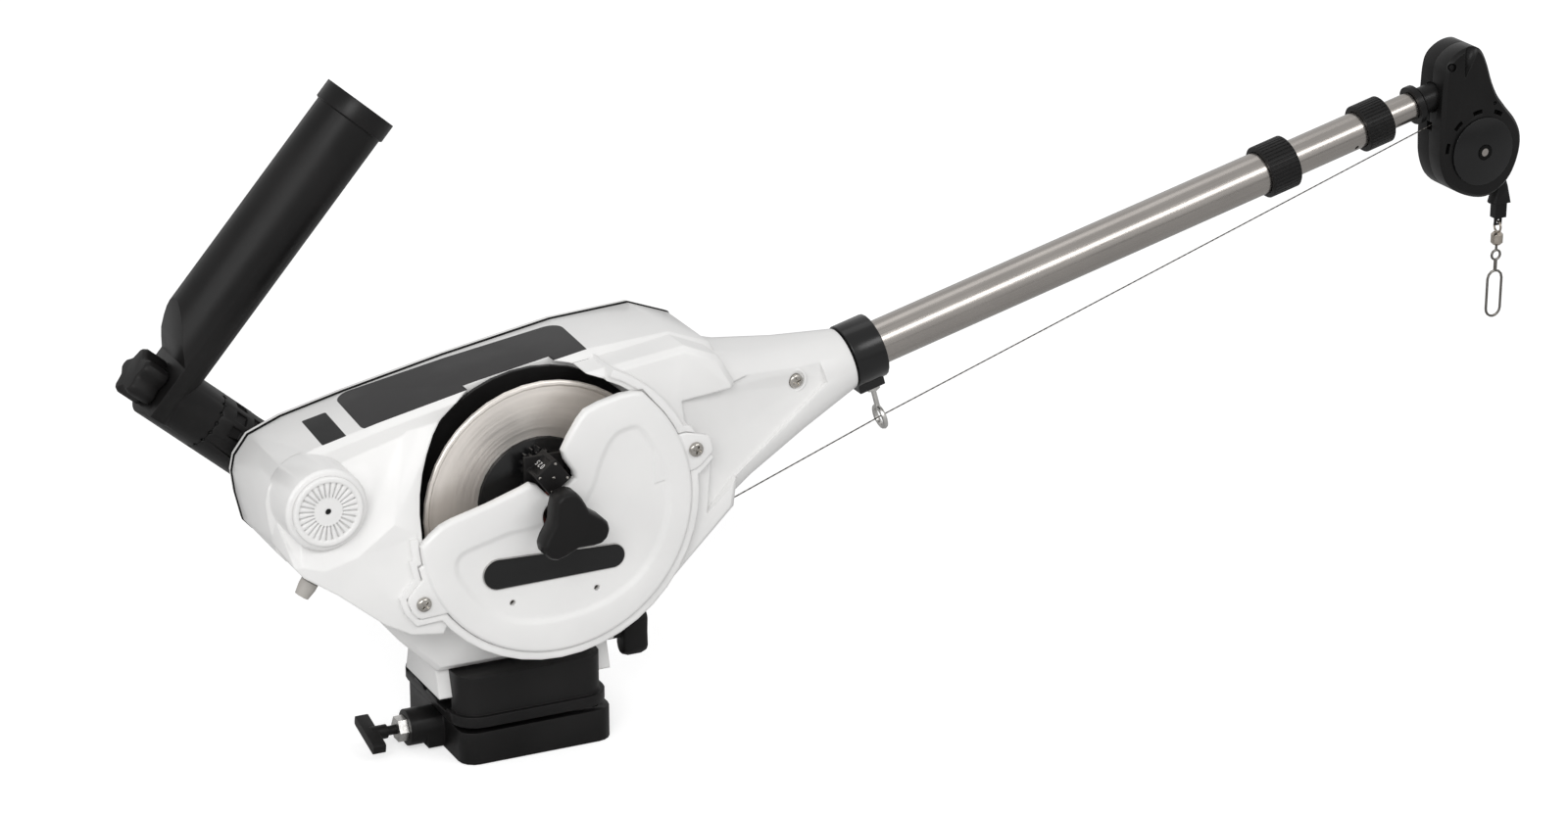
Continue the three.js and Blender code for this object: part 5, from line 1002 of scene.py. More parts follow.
    @staticmethod
    def copy_node(name: str) -> bpy.types.Object:
        """Copies one of the part's solids and merges its loose triangles.

        Args:
            name: The node's name.

        Returns:
            The copy, a closed mesh of its own.
        """
        piece = bpy.data.objects.new(f"{name}_copy", frame["nodes"][name].data.copy())
        bpy.context.scene.collection.objects.link(piece)
        Bench.take(piece)
        if piece.data.has_custom_normals:
            bpy.ops.mesh.customdata_custom_splitnormals_clear()
        with Bench.editing(piece):
            bpy.ops.mesh.select_all(action="SELECT")
            bpy.ops.mesh.remove_doubles(threshold=WELD_GAP * MM)
            bpy.ops.mesh.dissolve_limited(angle_limit=FLAT_ANGLE)
        return piece

    @staticmethod
    def finish(piece: bpy.types.Object, name: str, body: str, slot: str, finish: str = "",
               smooth: float = 30.0) -> None:
        """Puts a piece's place in its mesh, dresses it and lets it ride.

        Args:
            piece: The modelled piece.
            name: Its name.
            body: The body that carries it.
            slot: The record's material slot.
            finish: Its finish, where that isn't the slot's own.
            smooth: Angle in degrees up to which edges are shaded smooth.
        """
        Bench.take(piece)
        for modifier in list(piece.modifiers):
            bpy.ops.object.modifier_apply(modifier=modifier.name)
        bpy.ops.object.transform_apply(location=True, rotation=True, scale=True)
        with Bench.editing(piece):
            bpy.ops.mesh.select_all(action="SELECT")
            bpy.ops.mesh.remove_doubles(threshold=MERGE_GAP * MM)
            bpy.ops.mesh.normals_make_consistent(inside=False)
        bpy.ops.object.shade_smooth_by_angle(angle=math.radians(smooth))
        piece.name = piece.data.name = name
        piece.data.materials.clear()
        piece.data.materials.append(materials[finish or slot])
        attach(piece, body)
        piece.select_set(False)
        log.info("piece %s on %s", name, body)


class Solids:
    """The part's own solids: smooth shading and a finish for each."""

    def __init__(self, nodes: dict[str, bpy.types.Object], record: dict) -> None:
        """Keeps the solids and the record's slots.

        Args:
            nodes: The frame's nodes by name.
            record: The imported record.
        """
        self.nodes = nodes
        self.slots = {row["node"]: row["material_slot"] for row in record["subparts"]}

    def dress(self) -> None:
        """Gives every solid its finish."""
        for name, solid in sorted(self.nodes.items()):
            self._smooth(solid)
            solid.data.materials.clear()
            solid.data.materials.append(materials[OWN_FINISHES.get(name, self.slots[name])])
        log.info("dressed %d solids", len(self.nodes))

    @staticmethod
    def _smooth(solid: bpy.types.Object) -> None:
        """Shades a solid smooth up to its hard edges.

        Args:
            solid: A solid of the frame.
        """
        Bench.take(solid)
        if solid.data.has_custom_normals:
            bpy.ops.mesh.customdata_custom_splitnormals_clear()
        bpy.ops.object.shade_smooth()
        solid.select_set(False)
        weld = solid.modifiers.new("weld", "WELD")
        weld.merge_threshold = WELD_GAP * MM
        if solid.name in ROUNDED:
            flat = solid.modifiers.new("flats", "DECIMATE")
            flat.decimate_type = "DISSOLVE"
            flat.angle_limit = FLAT_ANGLE
            flat.delimit = set()
            Bench.rounding(solid, ROUNDED[solid.name])
        split = solid.modifiers.new("hard_edges", "EDGE_SPLIT")
        split.split_angle = SPLIT_ANGLE


@dataclass
class CoverShell:
    """The moulded reel cover: thick rounded edge, sunken panel, screw ears and holes."""

    face: float = -90.0
    back: float = -82.8
    radius: float = 118.6
    arc: Pair = (184.0, 403.7)
    arc_steps: int = 56
    edge: float = 3.6
    ear_face: float = -88.0
    ear_back: float = -84.4
    ear_edge: float = 0.9
    hole: float = 14.0
    drains: tuple[Pair, ...] = ((-29.6, 147.0), (44.2, 147.0))
    drain: float = 2.5
    drill: float = 30.0
    top: tuple[Pair, ...] = (
        (87.0, 309.6), (78.0, 311.0), (67.0, 310.6), (48.0, 306.2), (36.0, 301.6), (30.0, 295.0),
        (21.5, 282.0), (15.5, 270.5), (17.5, 262.5), (24.5, 251.5), (25.8, 245.8), (7.5, 232.4), (4.6, 232.4),
        (-6.5, 245.0), (-12.5, 247.4), (-20.0, 244.4), (-50.0, 234.8), (-80.0, 227.2), (-90.0, 223.4),
        (-99.0, 216.6))
    panel: tuple[Pair, ...] = (
        (-75.3, 199.1), (-80.6, 191.5), (-80.6, 181.8), (-75.2, 170.0), (-65.8, 156.6), (-54.0, 143.9),
        (-38.3, 132.5), (-20.0, 125.8), (1.0, 123.6), (20.0, 124.0), (40.0, 127.2), (66.1, 136.9),
        (89.0, 154.6), (103.4, 178.5), (110.0, 201.4), (111.2, 221.8), (108.6, 238.0), (103.1, 253.1),
        (95.0, 268.4), (86.0, 280.6), (79.0, 284.6), (69.4, 283.6), (60.6, 280.4), (53.0, 272.0),
        (47.1, 260.9), (42.9, 249.7), (38.1, 236.5), (29.7, 224.4), (15.0, 217.5), (-4.6, 213.5),
        (-18.8, 212.1), (-33.5, 211.0), (-51.0, 206.6), (-66.0, 203.0))
    ears: tuple[tuple[Pair, ...], ...] = (
        ((96.0, 228.8), (133.0, 235.4), (138.0, 238.0), (148.0, 247.6), (149.0, 251.0), (146.2, 261.0),
         (143.6, 263.4), (125.0, 268.1), (96.0, 265.2)),
        ((-70.0, 150.0), (-80.0, 195.0), (-106.0, 192.4), (-108.6, 190.0), (-106.2, 180.0), (-118.2, 167.0),
         (-119.0, 163.0), (-115.6, 154.0), (-112.0, 149.0), (-108.0, 146.9), (-88.0, 147.9)))
    slope: tuple[Pair, ...] = ((0.9, 0.13), (1.3, 0.48), (1.4, 0.72), (1.4, 0.6), (1.3, 0.33), (1.0, 0.09))

    def _plate(self) -> bpy.types.Object:
        """Models the plate with its rounded front edge.

        Returns:
            The plate, in object mode.
        """
        start, end = self.arc
        arc = []
        for step in range(self.arc_steps + 1):
            angle = math.radians(start + (end - start) * step / self.arc_steps)
            arc.append((REEL_AXIS[0] + self.radius * math.cos(angle),
                        REEL_AXIS[2] + self.radius * math.sin(angle)))
        return Bench.slab(arc + list(self.top), self.face, self.back, self.edge, 4)

    def _sink_panel(self, plate: bpy.types.Object) -> None:
        """Opens the plate's face and sinks a panel with a soft slope into it.

        Args:
            plate: The plate, which is changed.
        """
        panel = Bench.face(smooth_loop(self.panel, 3), self.face)
        with Bench.editing(panel):
            Bench.pick(panel, lambda face: True)
            for width, drop in self.slope:
                bpy.ops.mesh.inset(thickness=width * MM)
                Bench.shift(drop)
        with Bench.editing(plate):
            Bench.pick(plate, lambda face: len(face.verts) > self.arc_steps and face.normal.y < -FACING)
            bpy.ops.mesh.delete(type="ONLY_FACE")
        Bench.join(plate, [panel])
        with Bench.editing(plate):
            Bench.pick_edges(plate, lambda edge: len(edge.link_faces) == 1)
            bpy.ops.mesh.fill(use_beauty=True)
            Bench.turn_outwards()

    def build(self) -> None:
        """Models and dresses the cover, in place of the plain solid."""
        plate = self._plate()
        self._sink_panel(plate)
        for x, z, radius, sides in (
                (REEL_AXIS[0], REEL_AXIS[2], self.hole, 40),
                *((x, z, self.drain, 16) for x, z in self.drains)):
            Bench.subtract(plate, Bench.rod((x, self.face, z), radius, self.drill, sides))
        ears = [Bench.slab(outline, self.ear_face, self.ear_back, self.ear_edge, 3) for outline in self.ears]
        Bench.join(plate, ears)
        Bench.finish(plate, "cover_shell", "housing", "white_shell", smooth=32.0)
        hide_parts("reel_cover")


@dataclass
class CoverBadge:
    """The bare badge on the reel cover: a gloss plate in a thin pale rim."""

    left: float = -54.4
    right: float = 68.2
    height: float = 174.3
    half: float = 12.6
    fall: float = 1.3
    taper: float = 0.79
    face: float = -87.7
    rise: float = 1.5
    rim: float = 0.7
    rim_drop: float = 0.3
    rim_dome: float = 0.3
    dome: float = 0.8
    dome_share: float = 0.35

    def _plate(self, grow: float, rise: float, dome: float) -> bpy.types.Object:
        """Models a plate with half-round ends that stands on the cover.

        Args:
            grow: How far the outline grows, in millimetres.
            rise: How far the plate stands proud.
            dome: How far its edge is bevelled.

        Returns:
            The plate.
        """
        first = Vector((self.left + self.half, self.face - rise / 2, self.height))
        piece = Bench.rod(first, self.half + grow, rise, 56, seated=False)
        stretch = self.right - self.left - self.half * (1.0 + self.taper)
        step = Vector((stretch, 0.0, -self.fall))
        with Bench.editing(piece):
            mesh = bmesh.from_edit_mesh(piece.data)
            for vertex in mesh.verts:
                vertex.select_set(vertex.co.x > 0.0)
            mesh.select_flush_mode()
            bmesh.update_edit_mesh(piece.data)
            bpy.ops.transform.translate(value=step * MM)
            bpy.ops.transform.resize(
                value=(self.taper, 1.0, self.taper), center_override=(first + step) * MM)
            Bench.pick(piece, lambda face: face.normal.y < -FACING)
            bpy.ops.mesh.inset(thickness=dome * MM)
            Bench.shift(-self.dome_share * dome)
        return piece

    def build(self) -> None:
        """Models and dresses the badge."""
        rim = self._plate(self.rim, self.rise - self.rim_drop, self.rim_dome)
        Bench.finish(rim, "badge_rim", "housing", "steel")
        Bench.finish(self._plate(0.0, self.rise, self.dome), "badge_plate", "housing", "gloss_black")


@dataclass
class PanScrews:
    """Domed screws with a cross recess, in place of the plain ones."""

    radius: float = 6.2
    height: float = 3.4
    dome: float = 2.6
    cross: float = 7.385
    cross_width: float = 1.7
    cross_depth: float = 2.3
    bars: Pair = (20.0, 110.0)
    turn: float = 25.0
    nodes: tuple[str, ...] = ("cover_screw_right", "cover_screw_left", "neck_screw")

    def _screw(self) -> bpy.types.Object:
        """Models one screw at the origin, its head towards -Y.

        Returns:
            The screw, in object mode.
        """
        head = Bench.rod((0.0, -self.height / 2, 0.0), self.radius, self.height, 36)
        rim = -0.9 * self.height * MM
        Bench.round_edges(head, lambda place: place.y < rim, self.dome, 6)
        size = (self.cross, 2 * self.cross_depth, self.cross_width)
        for angle in self.bars:
            Bench.subtract(head, Bench.bar((0.0, -self.height, 0.0), size, angle))
        return head

    def build(self) -> None:
        """Sets a screw on each plain one's place."""
        master = self._screw()
        for index, node in enumerate(self.nodes):
            screw = Bench.copy(master)
            screw.location = (front_of(node) + Vector((0.0, self.height, 0.0))) * MM
            screw.rotation_euler = (0.0, math.radians(self.turn * index), 0.0)
            Bench.finish(screw, f"{node}_head", "housing", "stainless", "dark_steel")
            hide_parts(node)
        bpy.data.objects.remove(master)


@dataclass
class NeckRing:
    """The moulded ring round the neck's screw."""

    radius: float = 9.2
    thickness: float = 1.5
    sunk: float = 0.3

    def build(self) -> None:
        """Models and dresses the ring."""
        seat = front_of("neck_screw") + Vector((0.0, PanScrews.height + self.sunk, 0.0))
        Bench.clear()
        bpy.ops.mesh.primitive_torus_add(
            major_segments=56, minor_segments=14, major_radius=self.radius * MM,
            minor_radius=self.thickness * MM, location=seat * MM, rotation=ALONG_Y)
        Bench.finish(bpy.context.object, "neck_screw_ring", "housing", "white_shell", smooth=60.0)


@dataclass
class FanCap:
    """The motor's cap: a rounded ring round a sunken wheel of ribs, with a hole darkened by a plug of painted
    shade.
    """

    centre: Pair = (-182.0, 251.0)
    radius: float = 29.0
    back: float = -82.3
    face: float = -86.0
    ring: float = 24.6
    ring_edge: float = 1.2
    ring_slope: float = 0.9
    disc: float = 12.4
    disc_slope: float = 0.4
    floor: float = -83.4
    disc_face: float = -85.0
    ribs: int = 28
    rib_inner: float = 0.9
    rib_outer: float = 2.1
    rib_edge: float = 0.85
    rib_ends: Pair = (1.0, 0.2)
    rib_depth_share: float = 1.2
    hole: float = 2.6
    shade_plug: Pair = (0.1, 0.5)
    shade_plug_dish: Pair = (0.6, -0.15)

    def _bowl(self) -> bpy.types.Object:
        """Models the ring and the floor inside it.

        Returns:
            The bowl, in object mode.
        """
        middle = (0.0, (self.back + self.face) / 2, 0.0)
        bowl = Bench.rod(middle, self.radius, self.back - self.face, 72)
        with Bench.editing(bowl):
            Bench.pick(bowl, lambda face: face.normal.y < -FACING)
            bpy.ops.mesh.inset(thickness=(self.radius - self.ring) * MM)
            bpy.ops.mesh.inset(thickness=self.ring_slope * MM)
            Bench.shift(self.floor - self.face)
            bpy.ops.mesh.inset(thickness=(self.ring - self.ring_slope - self.disc) * MM)
            bpy.ops.mesh.inset(thickness=self.disc_slope * MM)
            Bench.shift(self.disc_face - self.floor)
        depth = (self.face + self.disc_slope) * MM
        inside = (self.ring - self.ring_edge) * MM
        Bench.round_edges(
            bowl, lambda place: place.y < depth and math.hypot(place.x, place.z) > inside, self.ring_edge, 4)
        return bowl

    def _rib(self) -> bpy.types.Object:
        """Models one rounded rib that widens outwards.

        Returns:
            The rib, in object mode.
        """
        inner, outer = self.disc - self.rib_ends[0], self.ring + self.rib_ends[1]
        middle = ((inner + outer) / 2, (self.floor + self.disc_face) / 2, 0.0)
        depth = (self.floor - self.disc_face) * self.rib_depth_share
        rib = Bench.bar(middle, (outer - inner, depth, 2 * self.rib_inner))
        mesh = bmesh.new()
        mesh.from_mesh(rib.data)
        for vertex in mesh.verts:
            if vertex.co.x > middle[0] * MM:
                vertex.co.z *= self.rib_outer / self.rib_inner
        mesh.to_mesh(rib.data)
        mesh.free()
        crest = self.disc_face * MM
        Bench.round_edges(rib, lambda place: place.y < crest, self.rib_edge, 3)
        return rib

    def build(self) -> None:
        """Models and dresses the cap, in place of the plain one."""
        bowl = self._bowl()
        ribs = [self._rib()]
        for index in range(1, self.ribs):
            rib = Bench.copy(ribs[0])
            rib.rotation_euler = (0.0, math.radians(360.0 * index / self.ribs), 0.0)
            bpy.ops.object.transform_apply(location=False, rotation=True, scale=False)
            ribs.append(rib)
        depth = 2 * (self.floor - self.disc_face)
        Bench.subtract(bowl, Bench.rod((0.0, self.disc_face, 0.0), self.hole, depth, 20))
        Bench.join(bowl, ribs)
        bowl.location = (self.centre[0] * MM, 0.0, self.centre[1] * MM)
        Bench.finish(bowl, "fan_cap", "housing", "white_shell", smooth=32.0)
        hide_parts("motor_cap")
        self._shade_plug()

    def _shade_plug(self) -> None:
        """Sets a black plug, dished like a screw head, deep in the cap's hole as painted shade."""
        gap, depth = self.shade_plug
        place = (self.centre[0], self.floor - gap, self.centre[1])
        shade_plug = Bench.rod(place, self.hole - gap, depth, 20)
        width, dish = self.shade_plug_dish
        with Bench.editing(shade_plug):
            Bench.pick(shade_plug, lambda face: len(face.verts) > 4)
            bpy.ops.mesh.inset(thickness=width * MM, depth=dish * MM, use_individual=True)
        Bench.finish(shade_plug, "fan_cap_shade_plug", "housing", "black_plastic")


@dataclass(frozen=True)
class Grip:
    """One ribbed collar: its node, body, places along the boom and bores."""

    node: str
    body: str
    start: float
    end: float
    radius: float
    bores: Pair


@dataclass
class GripRings:
    """The two ribbed locking collars on the boom."""

    grips: tuple[Grip, ...] = (
        Grip("lock_collar_rear", "rear_lock", 718.5, 747.0, 23.6, (19.5, 16.7)),
        Grip("lock_collar_front", "front_lock", 820.5, 846.5, 21.3, (16.7, 13.2)))
    ribs: int = 40
    groove: float = 0.9
    border: float = 0.35
    chamfer: float = 0.9

    def _bevelled_rod(self, grip: Grip) -> bpy.types.Object:
        """Models a collar's rod on the Z axis with chamfered ends.

        Args:
            grip: Its places and bores.

        Returns:
            The rod, in object mode.
        """
        rod = Bench.rod(ORIGIN, grip.radius, grip.end - grip.start, 2 * self.ribs, turn=ORIGIN)
        with Bench.editing(rod):
            Bench.pick(rod, lambda face: abs(face.normal.z) > FACING)
            bpy.ops.mesh.inset(thickness=self.chamfer * MM, depth=0.0)
        rim = (grip.radius - self.chamfer / 2) * MM
        mesh = bmesh.new()
        mesh.from_mesh(rod.data)
        for vertex in mesh.verts:
            if math.hypot(*vertex.co.xy) > rim:
                vertex.co.z -= math.copysign(self.chamfer * MM, vertex.co.z)
        mesh.to_mesh(rod.data)
        mesh.free()
        return rod

    def _ring(self, grip: Grip) -> bpy.types.Object:
        """Models a ribbed collar on the Z axis.

        Args:
            grip: Its places and bores.

        Returns:
            The collar, in object mode.
        """
        step = math.pi / self.ribs

        def on_rib(face: bmesh.types.BMFace) -> bool:
            """Says whether a side face is one of every other pair.

            Args:
                face: The face.

            Returns:
                The answer.
            """
            middle = face.calc_center_median()
            turn = math.floor((math.atan2(middle.y, middle.x) + math.pi) / step)
            return abs(face.normal.z) < 1.0 - FACING and turn % 2 == 0

        def is_end(face: bmesh.types.BMFace, side: int) -> bool:
            """Says whether a face closes the collar at the given side."""
            return len(face.verts) > 8 and face.normal.z * side > FACING

        ring = self._bevelled_rod(grip)
        with Bench.editing(ring):
            Bench.pick(ring, on_rib)
            bpy.ops.mesh.inset(thickness=self.border * MM, depth=-self.groove * MM, use_individual=True)
            for side, bore in zip((-1, 1), grip.bores):
                Bench.pick(ring, lambda face: is_end(face, side))
                bpy.ops.mesh.inset(thickness=(grip.radius - self.chamfer - bore) * MM)
            Bench.pick(ring, lambda face: is_end(face, -1) or is_end(face, 1))
            bpy.ops.mesh.bridge_edge_loops()
        return ring

    def build(self) -> None:
        """Models both collars on the boom, in place of the plain ones."""
        for grip in self.grips:
            ring = self._ring(grip)
            ring.rotation_euler = (0.0, math.radians(90.0) - BOOM_ANGLE, 0.0)
            ring.location = boom_point((grip.start + grip.end) / 2) * MM
            Bench.finish(ring, f"{grip.node}_grip", grip.body, "black_plastic", smooth=24.0)
            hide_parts(grip.node)


@dataclass
class CounterFace:
    """Small screws and number wheels on the line counter."""

    centre: Pair = (4.064, 252.682)
    turn: float = 37.0
    half: float = 11.0
    face: float = -97.0
    pin_inset: float = 2.6
    pin_radius: float = 1.25
    pin_height: float = 0.9
    pin_proud: float = 0.25
    pin_edge: float = 0.35
    digits: str = "025"
    digit_size: float = 7.0
    digit_depth: float = 0.12
    digit_gap: float = 0.05
    digit_first: float = 6.0
    digit_step: float = 5.2

    def _spot(self, across: float, up: float, depth: float) -> Vector:
        """Gives a point of the counter's own square in the part's frame.

        Args:
            across: Distance along the square's first side, in millimetres.
            up: Distance along its other side.
            depth: Distance behind its face.

        Returns:
            The point.
        """
        turn = math.radians(self.turn)
        return Vector((self.centre[0] + across * math.cos(turn) - up * math.sin(turn), self.face + depth,
                       self.centre[1] + across * math.sin(turn) + up * math.cos(turn)))

    def build(self) -> None:
        """Models the counter's pins and numbers."""
        side = self.half - self.pin_inset
        corners = ((-side, -side), (side, -side), (side, side), (-side, side), (0.0, 0.0))
        for index, (across, up) in enumerate(corners):
            spot = self._spot(across, up, -self.pin_proud)
            pin = Bench.rod(spot, self.pin_radius, self.pin_height, 18, seated=False)
            Bench.round_edges(pin, lambda place: place.y < 0.0, self.pin_edge, 2)
            Bench.finish(pin, f"counter_pin_{index + 1}", "housing", "steel", "dark_steel")
        for index, digit in enumerate(self.digits):
            self._wheel(index, digit)

    def _wheel(self, index: int, digit: str) -> None:
        """Sets a number wheel's face into the counter's upper left side.

        Args:
            index: The wheel's place in the row.
            digit: Its number.
        """
        Bench.clear()
        bpy.ops.object.text_add()
        text = bpy.context.object
        text.data.body = digit
        text.data.size = self.digit_size * MM
        text.data.extrude = self.digit_depth * MM
        text.data.align_x = text.data.align_y = "CENTER"
        bpy.ops.object.convert(target="MESH")
        text = bpy.context.object
        turn = math.radians(self.turn)
        normal, right = Vector((-math.sin(turn), 0.0, math.cos(turn))), Vector((0.0, 1.0, 0.0))
        axes = Matrix((right, normal.cross(right), normal)).transposed().to_4x4()
        spot = self._spot(0.0, self.half + self.digit_gap, self.digit_first + self.digit_step * index)
        text.matrix_world = Matrix.Translation(spot * MM) @ axes
        Bench.finish(text, f"counter_digit_{index + 1}", "housing", "white_gear", "digit_white")


@dataclass
class HeadMarks:
    """The head's halves with a smooth outline, the front one's hollows, its screw and a black ring of painted
    shade round the bolt.
    """

    hollow: Place = (885.5, -37.0, 468.2)
    hollow_size: Pair = (4.0, 7.0)
    screw_size: Pair = (2.6, 1.6)
    screw_sunk: float = 2.4
    screw_edge: float = 0.6
    small: Place = (932.2, -37.0, 430.5)
    small_size: Pair = (1.9, 5.0)
    dimple_top: Place = (905.0, -41.0, 484.0)
    dimple_tip: Place = (899.0, -36.0, 456.0)
    dimple_radius: float = 8.5
    shade_ring_radius: float = 6.6
    shade_ring_depth: float = 0.6
    shade_ring_proud: float = 0.2
    bolt: float = 3.7
    pulley: Place = (921.0, 0.0, 388.0)
    well: float = 41.0
    corner_percent: float = 42.0

    def _shell(self, node: str) -> bpy.types.Object:
        """Copies a half of the head and smooths its outline.

        Args:
            node: The node's name.

        Returns:
            The copy.
        """
        shell = Bench.copy_node(node)
        centre, well = Vector(self.pulley) * MM, self.well * MM
        Bench.round_outline(
            shell, lambda place: math.hypot(place.x - centre.x, place.z - centre.z) > well,
            self.corner_percent, 4)
        Bench.take(shell)
        bpy.ops.object.modifier_apply(modifier=Bench.rounding(shell, ROUNDED[node]).name)
        return shell

    def build(self) -> None:
        """Makes both halves, the screw and the black ring of painted shade round the bolt."""
        rear = self._shell("head_rear")
        Bench.finish(rear, "head_rear_shell", "head", "black_plastic", smooth=33.0)
        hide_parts("head_rear")
        front = self._shell("head_front")
        Bench.subtract(front, Bench.rod(self.hollow, *self.hollow_size, 24))
        Bench.subtract(front, Bench.rod(self.small, *self.small_size, 16))
        Bench.subtract(front, self._dimple())
        Bench.finish(front, "head_front_shell", "head", "black_plastic", smooth=33.0)
        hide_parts("head_front")
        place = Vector(self.hollow) + Vector((0.0, self.screw_sunk, 0.0))
        screw = Bench.rod(place, *self.screw_size, 24, seated=False)
        Bench.round_edges(screw, lambda spot: spot.y < 0.0, self.screw_edge, 3)
        Bench.finish(screw, "head_screw", "head", "black_plastic")
        self._bolt_shade_ring()

    def _dimple(self) -> bpy.types.Object:
        """Models the cone that cuts the front half's dimple.

        Returns:
            The cone, in object mode.
        """
        top, tip = Vector(self.dimple_top), Vector(self.dimple_tip)
        Bench.clear()
        bpy.ops.mesh.primitive_cone_add(
            vertices=36, radius1=self.dimple_radius * MM, radius2=0.0, depth=(tip - top).length * MM,
            location=(top + tip) / 2 * MM, rotation=(tip - top).to_track_quat("Z", "Y").to_euler())
        bpy.ops.object.transform_apply(location=True, rotation=True, scale=True)
        return bpy.context.object

    def _bolt_shade_ring(self) -> None:
        """Rings the pulley bolt's head with a flat black ring of painted shade, so that it shows as a small
        screw in a dark hollow.
        """
        place = front_of("pulley_bolt") - Vector((0.0, self.shade_ring_proud, 0.0))
        ring = Bench.rod(place, self.shade_ring_radius, self.shade_ring_depth, 36, seated=False)
        with Bench.editing(ring):
            Bench.pick(ring, lambda face: abs(face.normal.y) > FACING)
            bpy.ops.mesh.inset(thickness=(self.shade_ring_radius - self.bolt) * MM)
            bpy.ops.mesh.bridge_edge_loops()
        Bench.finish(ring, "bolt_shade_ring", "head", "black_plastic", "gasket_and_shade_black")


@dataclass
class DrainedTube:
    """The middle tube with the drain hole near its front collar."""

    station: float = 809.0
    radius: float = 16.25
    hole: float = 2.0
    drill: float = 5.0
    side: Place = (0.148, -0.823, -0.549)

    def build(self) -> None:
        """Drills a copy of the tube, which it replaces."""
        tube = Bench.copy_node("middle_tube")
        side = Vector(self.side).normalized()
        spot = boom_point(self.station) + side * self.radius
        turn = side.to_track_quat("Z", "Y").to_euler()
        Bench.subtract(tube, Bench.rod(spot, self.hole, self.drill, 20, turn=turn))
        Bench.finish(tube, "middle_tube_drained", "middle_stage", "stainless")
        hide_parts("middle_tube")


@dataclass
class FullGasket:
    """The seam's gasket, swollen between the two halves of the housing."""

    swell: float = 0.7

    def build(self) -> None:
        """Swells a copy of the gasket, which it replaces."""
        gasket = Bench.copy_node("seam_gasket")
        with Bench.editing(gasket):
            Bench.turn_outwards()
            bpy.ops.transform.shrink_fatten(value=self.swell * MM, use_even_offset=True)
        Bench.finish(gasket, "gasket_full", "housing", "soft_black", "gasket_and_shade_black")
        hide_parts("seam_gasket")


@dataclass(frozen=True)
class SoftBox:
    """A rectangular lamp, in metres and watts."""

    name: str
    place: Place
    target: Place
    size: Pair
    watts: float

    def build(self) -> None:
        """Hangs the lamp so that it faces its target."""
        data = bpy.data.lights.new(self.name, "AREA")
        data.shape = "RECTANGLE"
        data.size, data.size_y = self.size
        data.energy = self.watts
        lamp = bpy.data.objects.new(self.name, data)
        bpy.context.scene.collection.objects.link(lamp)
        lamp.location = self.place
        lamp.rotation_mode = "QUATERNION"
        lamp.rotation_quaternion = (Vector(self.target) - Vector(self.place)).to_track_quat("-Z", "Y")


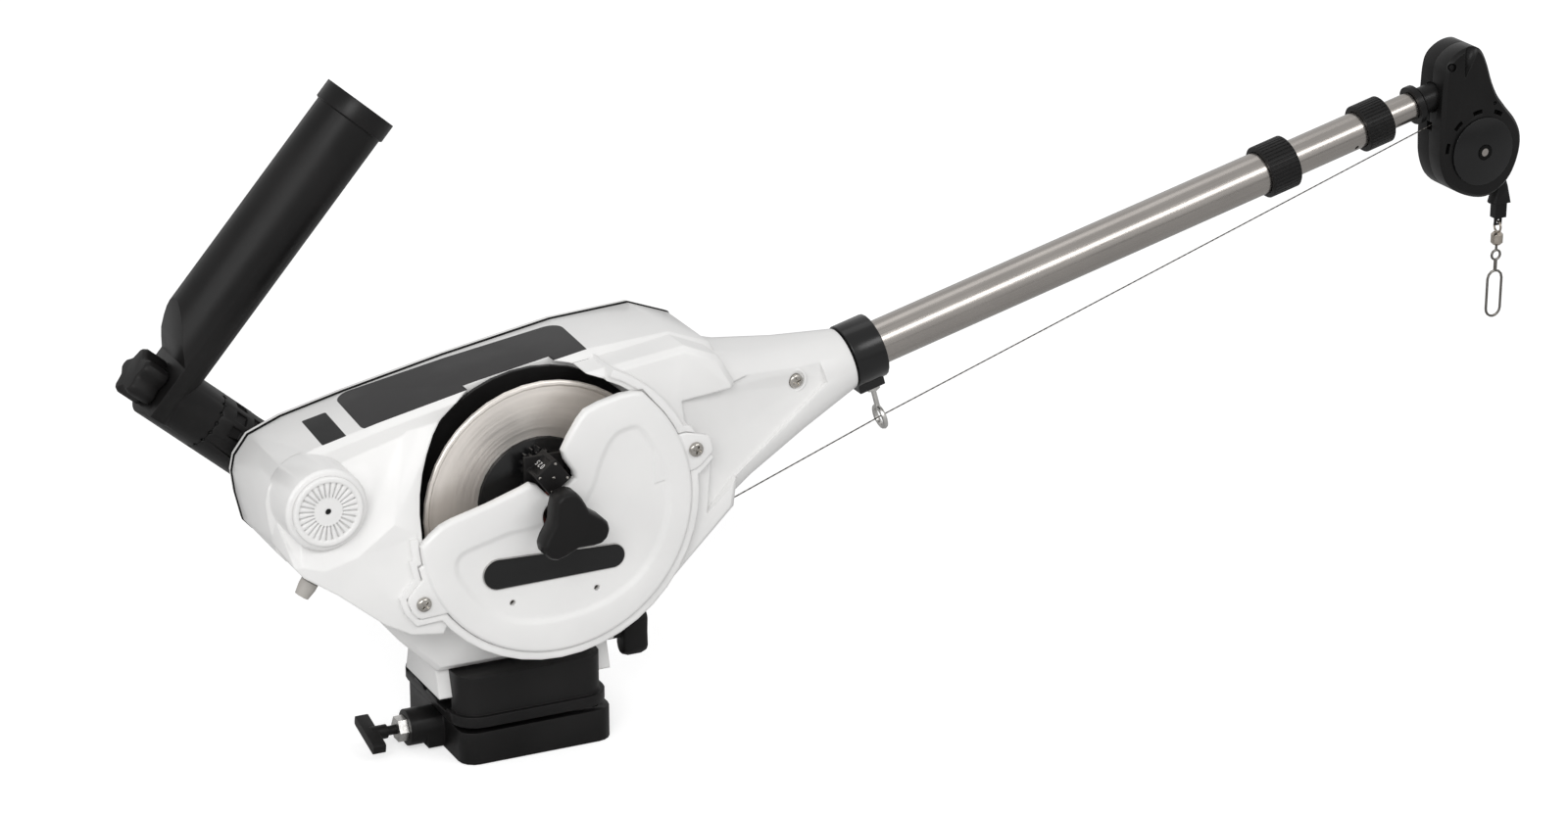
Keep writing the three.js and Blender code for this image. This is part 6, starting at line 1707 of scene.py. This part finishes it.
@dataclass
class Studio:
    """Floor, world, lamps and camera, in metres."""

    lens: float = 101.25
    sensor: float = 36.0
    clip: Pair = (0.05, 100.0)
    eye: Place = (-1.2519, -3.1362, 1.5238)
    eye_back: Place = (-0.4063, -0.8457, 0.3461)
    eye_right: Place = (0.9014, -0.4330, 0.0)
    room_light: float = 0.56
    mirror_share: float = 0.5
    floor_level: float = -0.0005
    floor_size: float = 60.0
    floor_tones: tuple[Colour, Colour] = ((0.62, 0.62, 0.62), (0.63, 0.63, 0.63))
    glow_reach: Pair = (0.6, 6.0)
    glow: Pair = (0.58, 1.0)
    lamps: tuple[SoftBox, ...] = (
        SoftBox("key", (-1.5, -2.4, 1.9), (0.2, 0.0, 0.25), (1.5, 1.2), 41.0),
        SoftBox("fill", (1.25, -2.3, 2.2), (0.5, 0.0, 0.3), (1.8, 0.8), 20.0),
        SoftBox("top", (0.2, 0.8, 2.8), (0.2, 0.0, 0.25), (2.0, 1.0), 5.0),
        SoftBox("side", (-2.6, -1.0, 1.3), (-0.1, 0.0, 0.25), (1.2, 1.2), 10.0))

    def _camera(self) -> None:
        """Places the camera at the photograph's viewpoint."""
        data = bpy.data.cameras.new("camera")
        data.lens, data.sensor_width = self.lens, self.sensor
        data.clip_start, data.clip_end = self.clip
        camera = bpy.data.objects.new("camera", data)
        bpy.context.scene.collection.objects.link(camera)
        back, right = Vector(self.eye_back).normalized(), Vector(self.eye_right).normalized()
        turn = Matrix((right, back.cross(right).normalized(), back)).transposed().to_4x4()
        camera.matrix_world = Matrix.Translation(self.eye) @ turn
        bpy.context.scene.camera = camera

    def _world(self) -> None:
        """Lights the room softly and shows white behind the object."""
        world = bpy.data.worlds.new("room")
        bpy.context.scene.world = world
        world.use_nodes = True
        sheet = Sheet(world.node_tree)
        path = sheet.node("LightPath")
        mirrored = sheet.math("MULTIPLY", path.outputs["Is Glossy Ray"], self.mirror_share)
        seen = sheet.math("ADD", path.outputs["Is Camera Ray"], mirrored, clamp=True)
        ground = world.node_tree.nodes["Background"]
        ground.inputs["Color"].default_value = (1.0, 1.0, 1.0, 1.0)
        strength = sheet.node("MapRange")
        strength.inputs["To Min"].default_value = self.room_light
        strength.inputs["To Max"].default_value = 1.0
        sheet.join(seen, strength.inputs[0])
        sheet.join(strength.outputs[0], ground.inputs["Strength"])

    def _floor(self) -> None:
        """Lays a pale floor that keeps the object's shadow."""
        Bench.clear()
        bpy.ops.mesh.primitive_plane_add(size=self.floor_size, location=(0.0, 0.0, self.floor_level))
        floor = bpy.context.object
        floor.name = "floor"
        material, sheet, shader = start_material("floor_pale")
        grain = place_group(sheet, effects.grain, Scale=60.0)
        tone = sheet.blend(grain.outputs["Tone"], *self.floor_tones)
        sheet.join(tone, shader.inputs["Base Color"])
        shader.inputs["Roughness"].default_value = 0.9
        shader.inputs["Specular IOR Level"].default_value = 0.0
        path = sheet.node("LightPath")
        away = sheet.node("VectorMath", operation="LENGTH")
        sheet.join(sheet.node("TexCoord").outputs["Object"], away.inputs[0])
        brighter = sheet.ramp(away.outputs["Value"], *self.glow_reach, *self.glow)
        glow = sheet.math("MULTIPLY", path.outputs["Is Camera Ray"], brighter)
        shader.inputs["Emission Color"].default_value = (1.0, 1.0, 1.0, 1.0)
        sheet.join(glow, shader.inputs["Emission Strength"])
        floor.data.materials.append(material)

    def build(self) -> None:
        """Sets up the whole studio."""
        self._camera()
        self._world()
        self._floor()
        for lamp in self.lamps:
            lamp.build()
        bpy.context.scene.view_settings.view_transform = "Standard"


def main() -> None:
    """Builds the studio, dresses the solids and adds the fine pieces."""
    logging.basicConfig(level=logging.INFO, format="%(message)s")
    Studio().build()
    Solids(frame["nodes"], frame["record"]).dress()
    pieces = (
        CoverShell(), CoverBadge(), NeckRing(), PanScrews(), FanCap(), GripRings(), CounterFace(),
        HeadMarks(), DrainedTube(), FullGasket())
    for piece in pieces:
        piece.build()
        log.info("%s is done", type(piece).__name__)


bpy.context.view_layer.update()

if __name__ == "__main__":
    main()
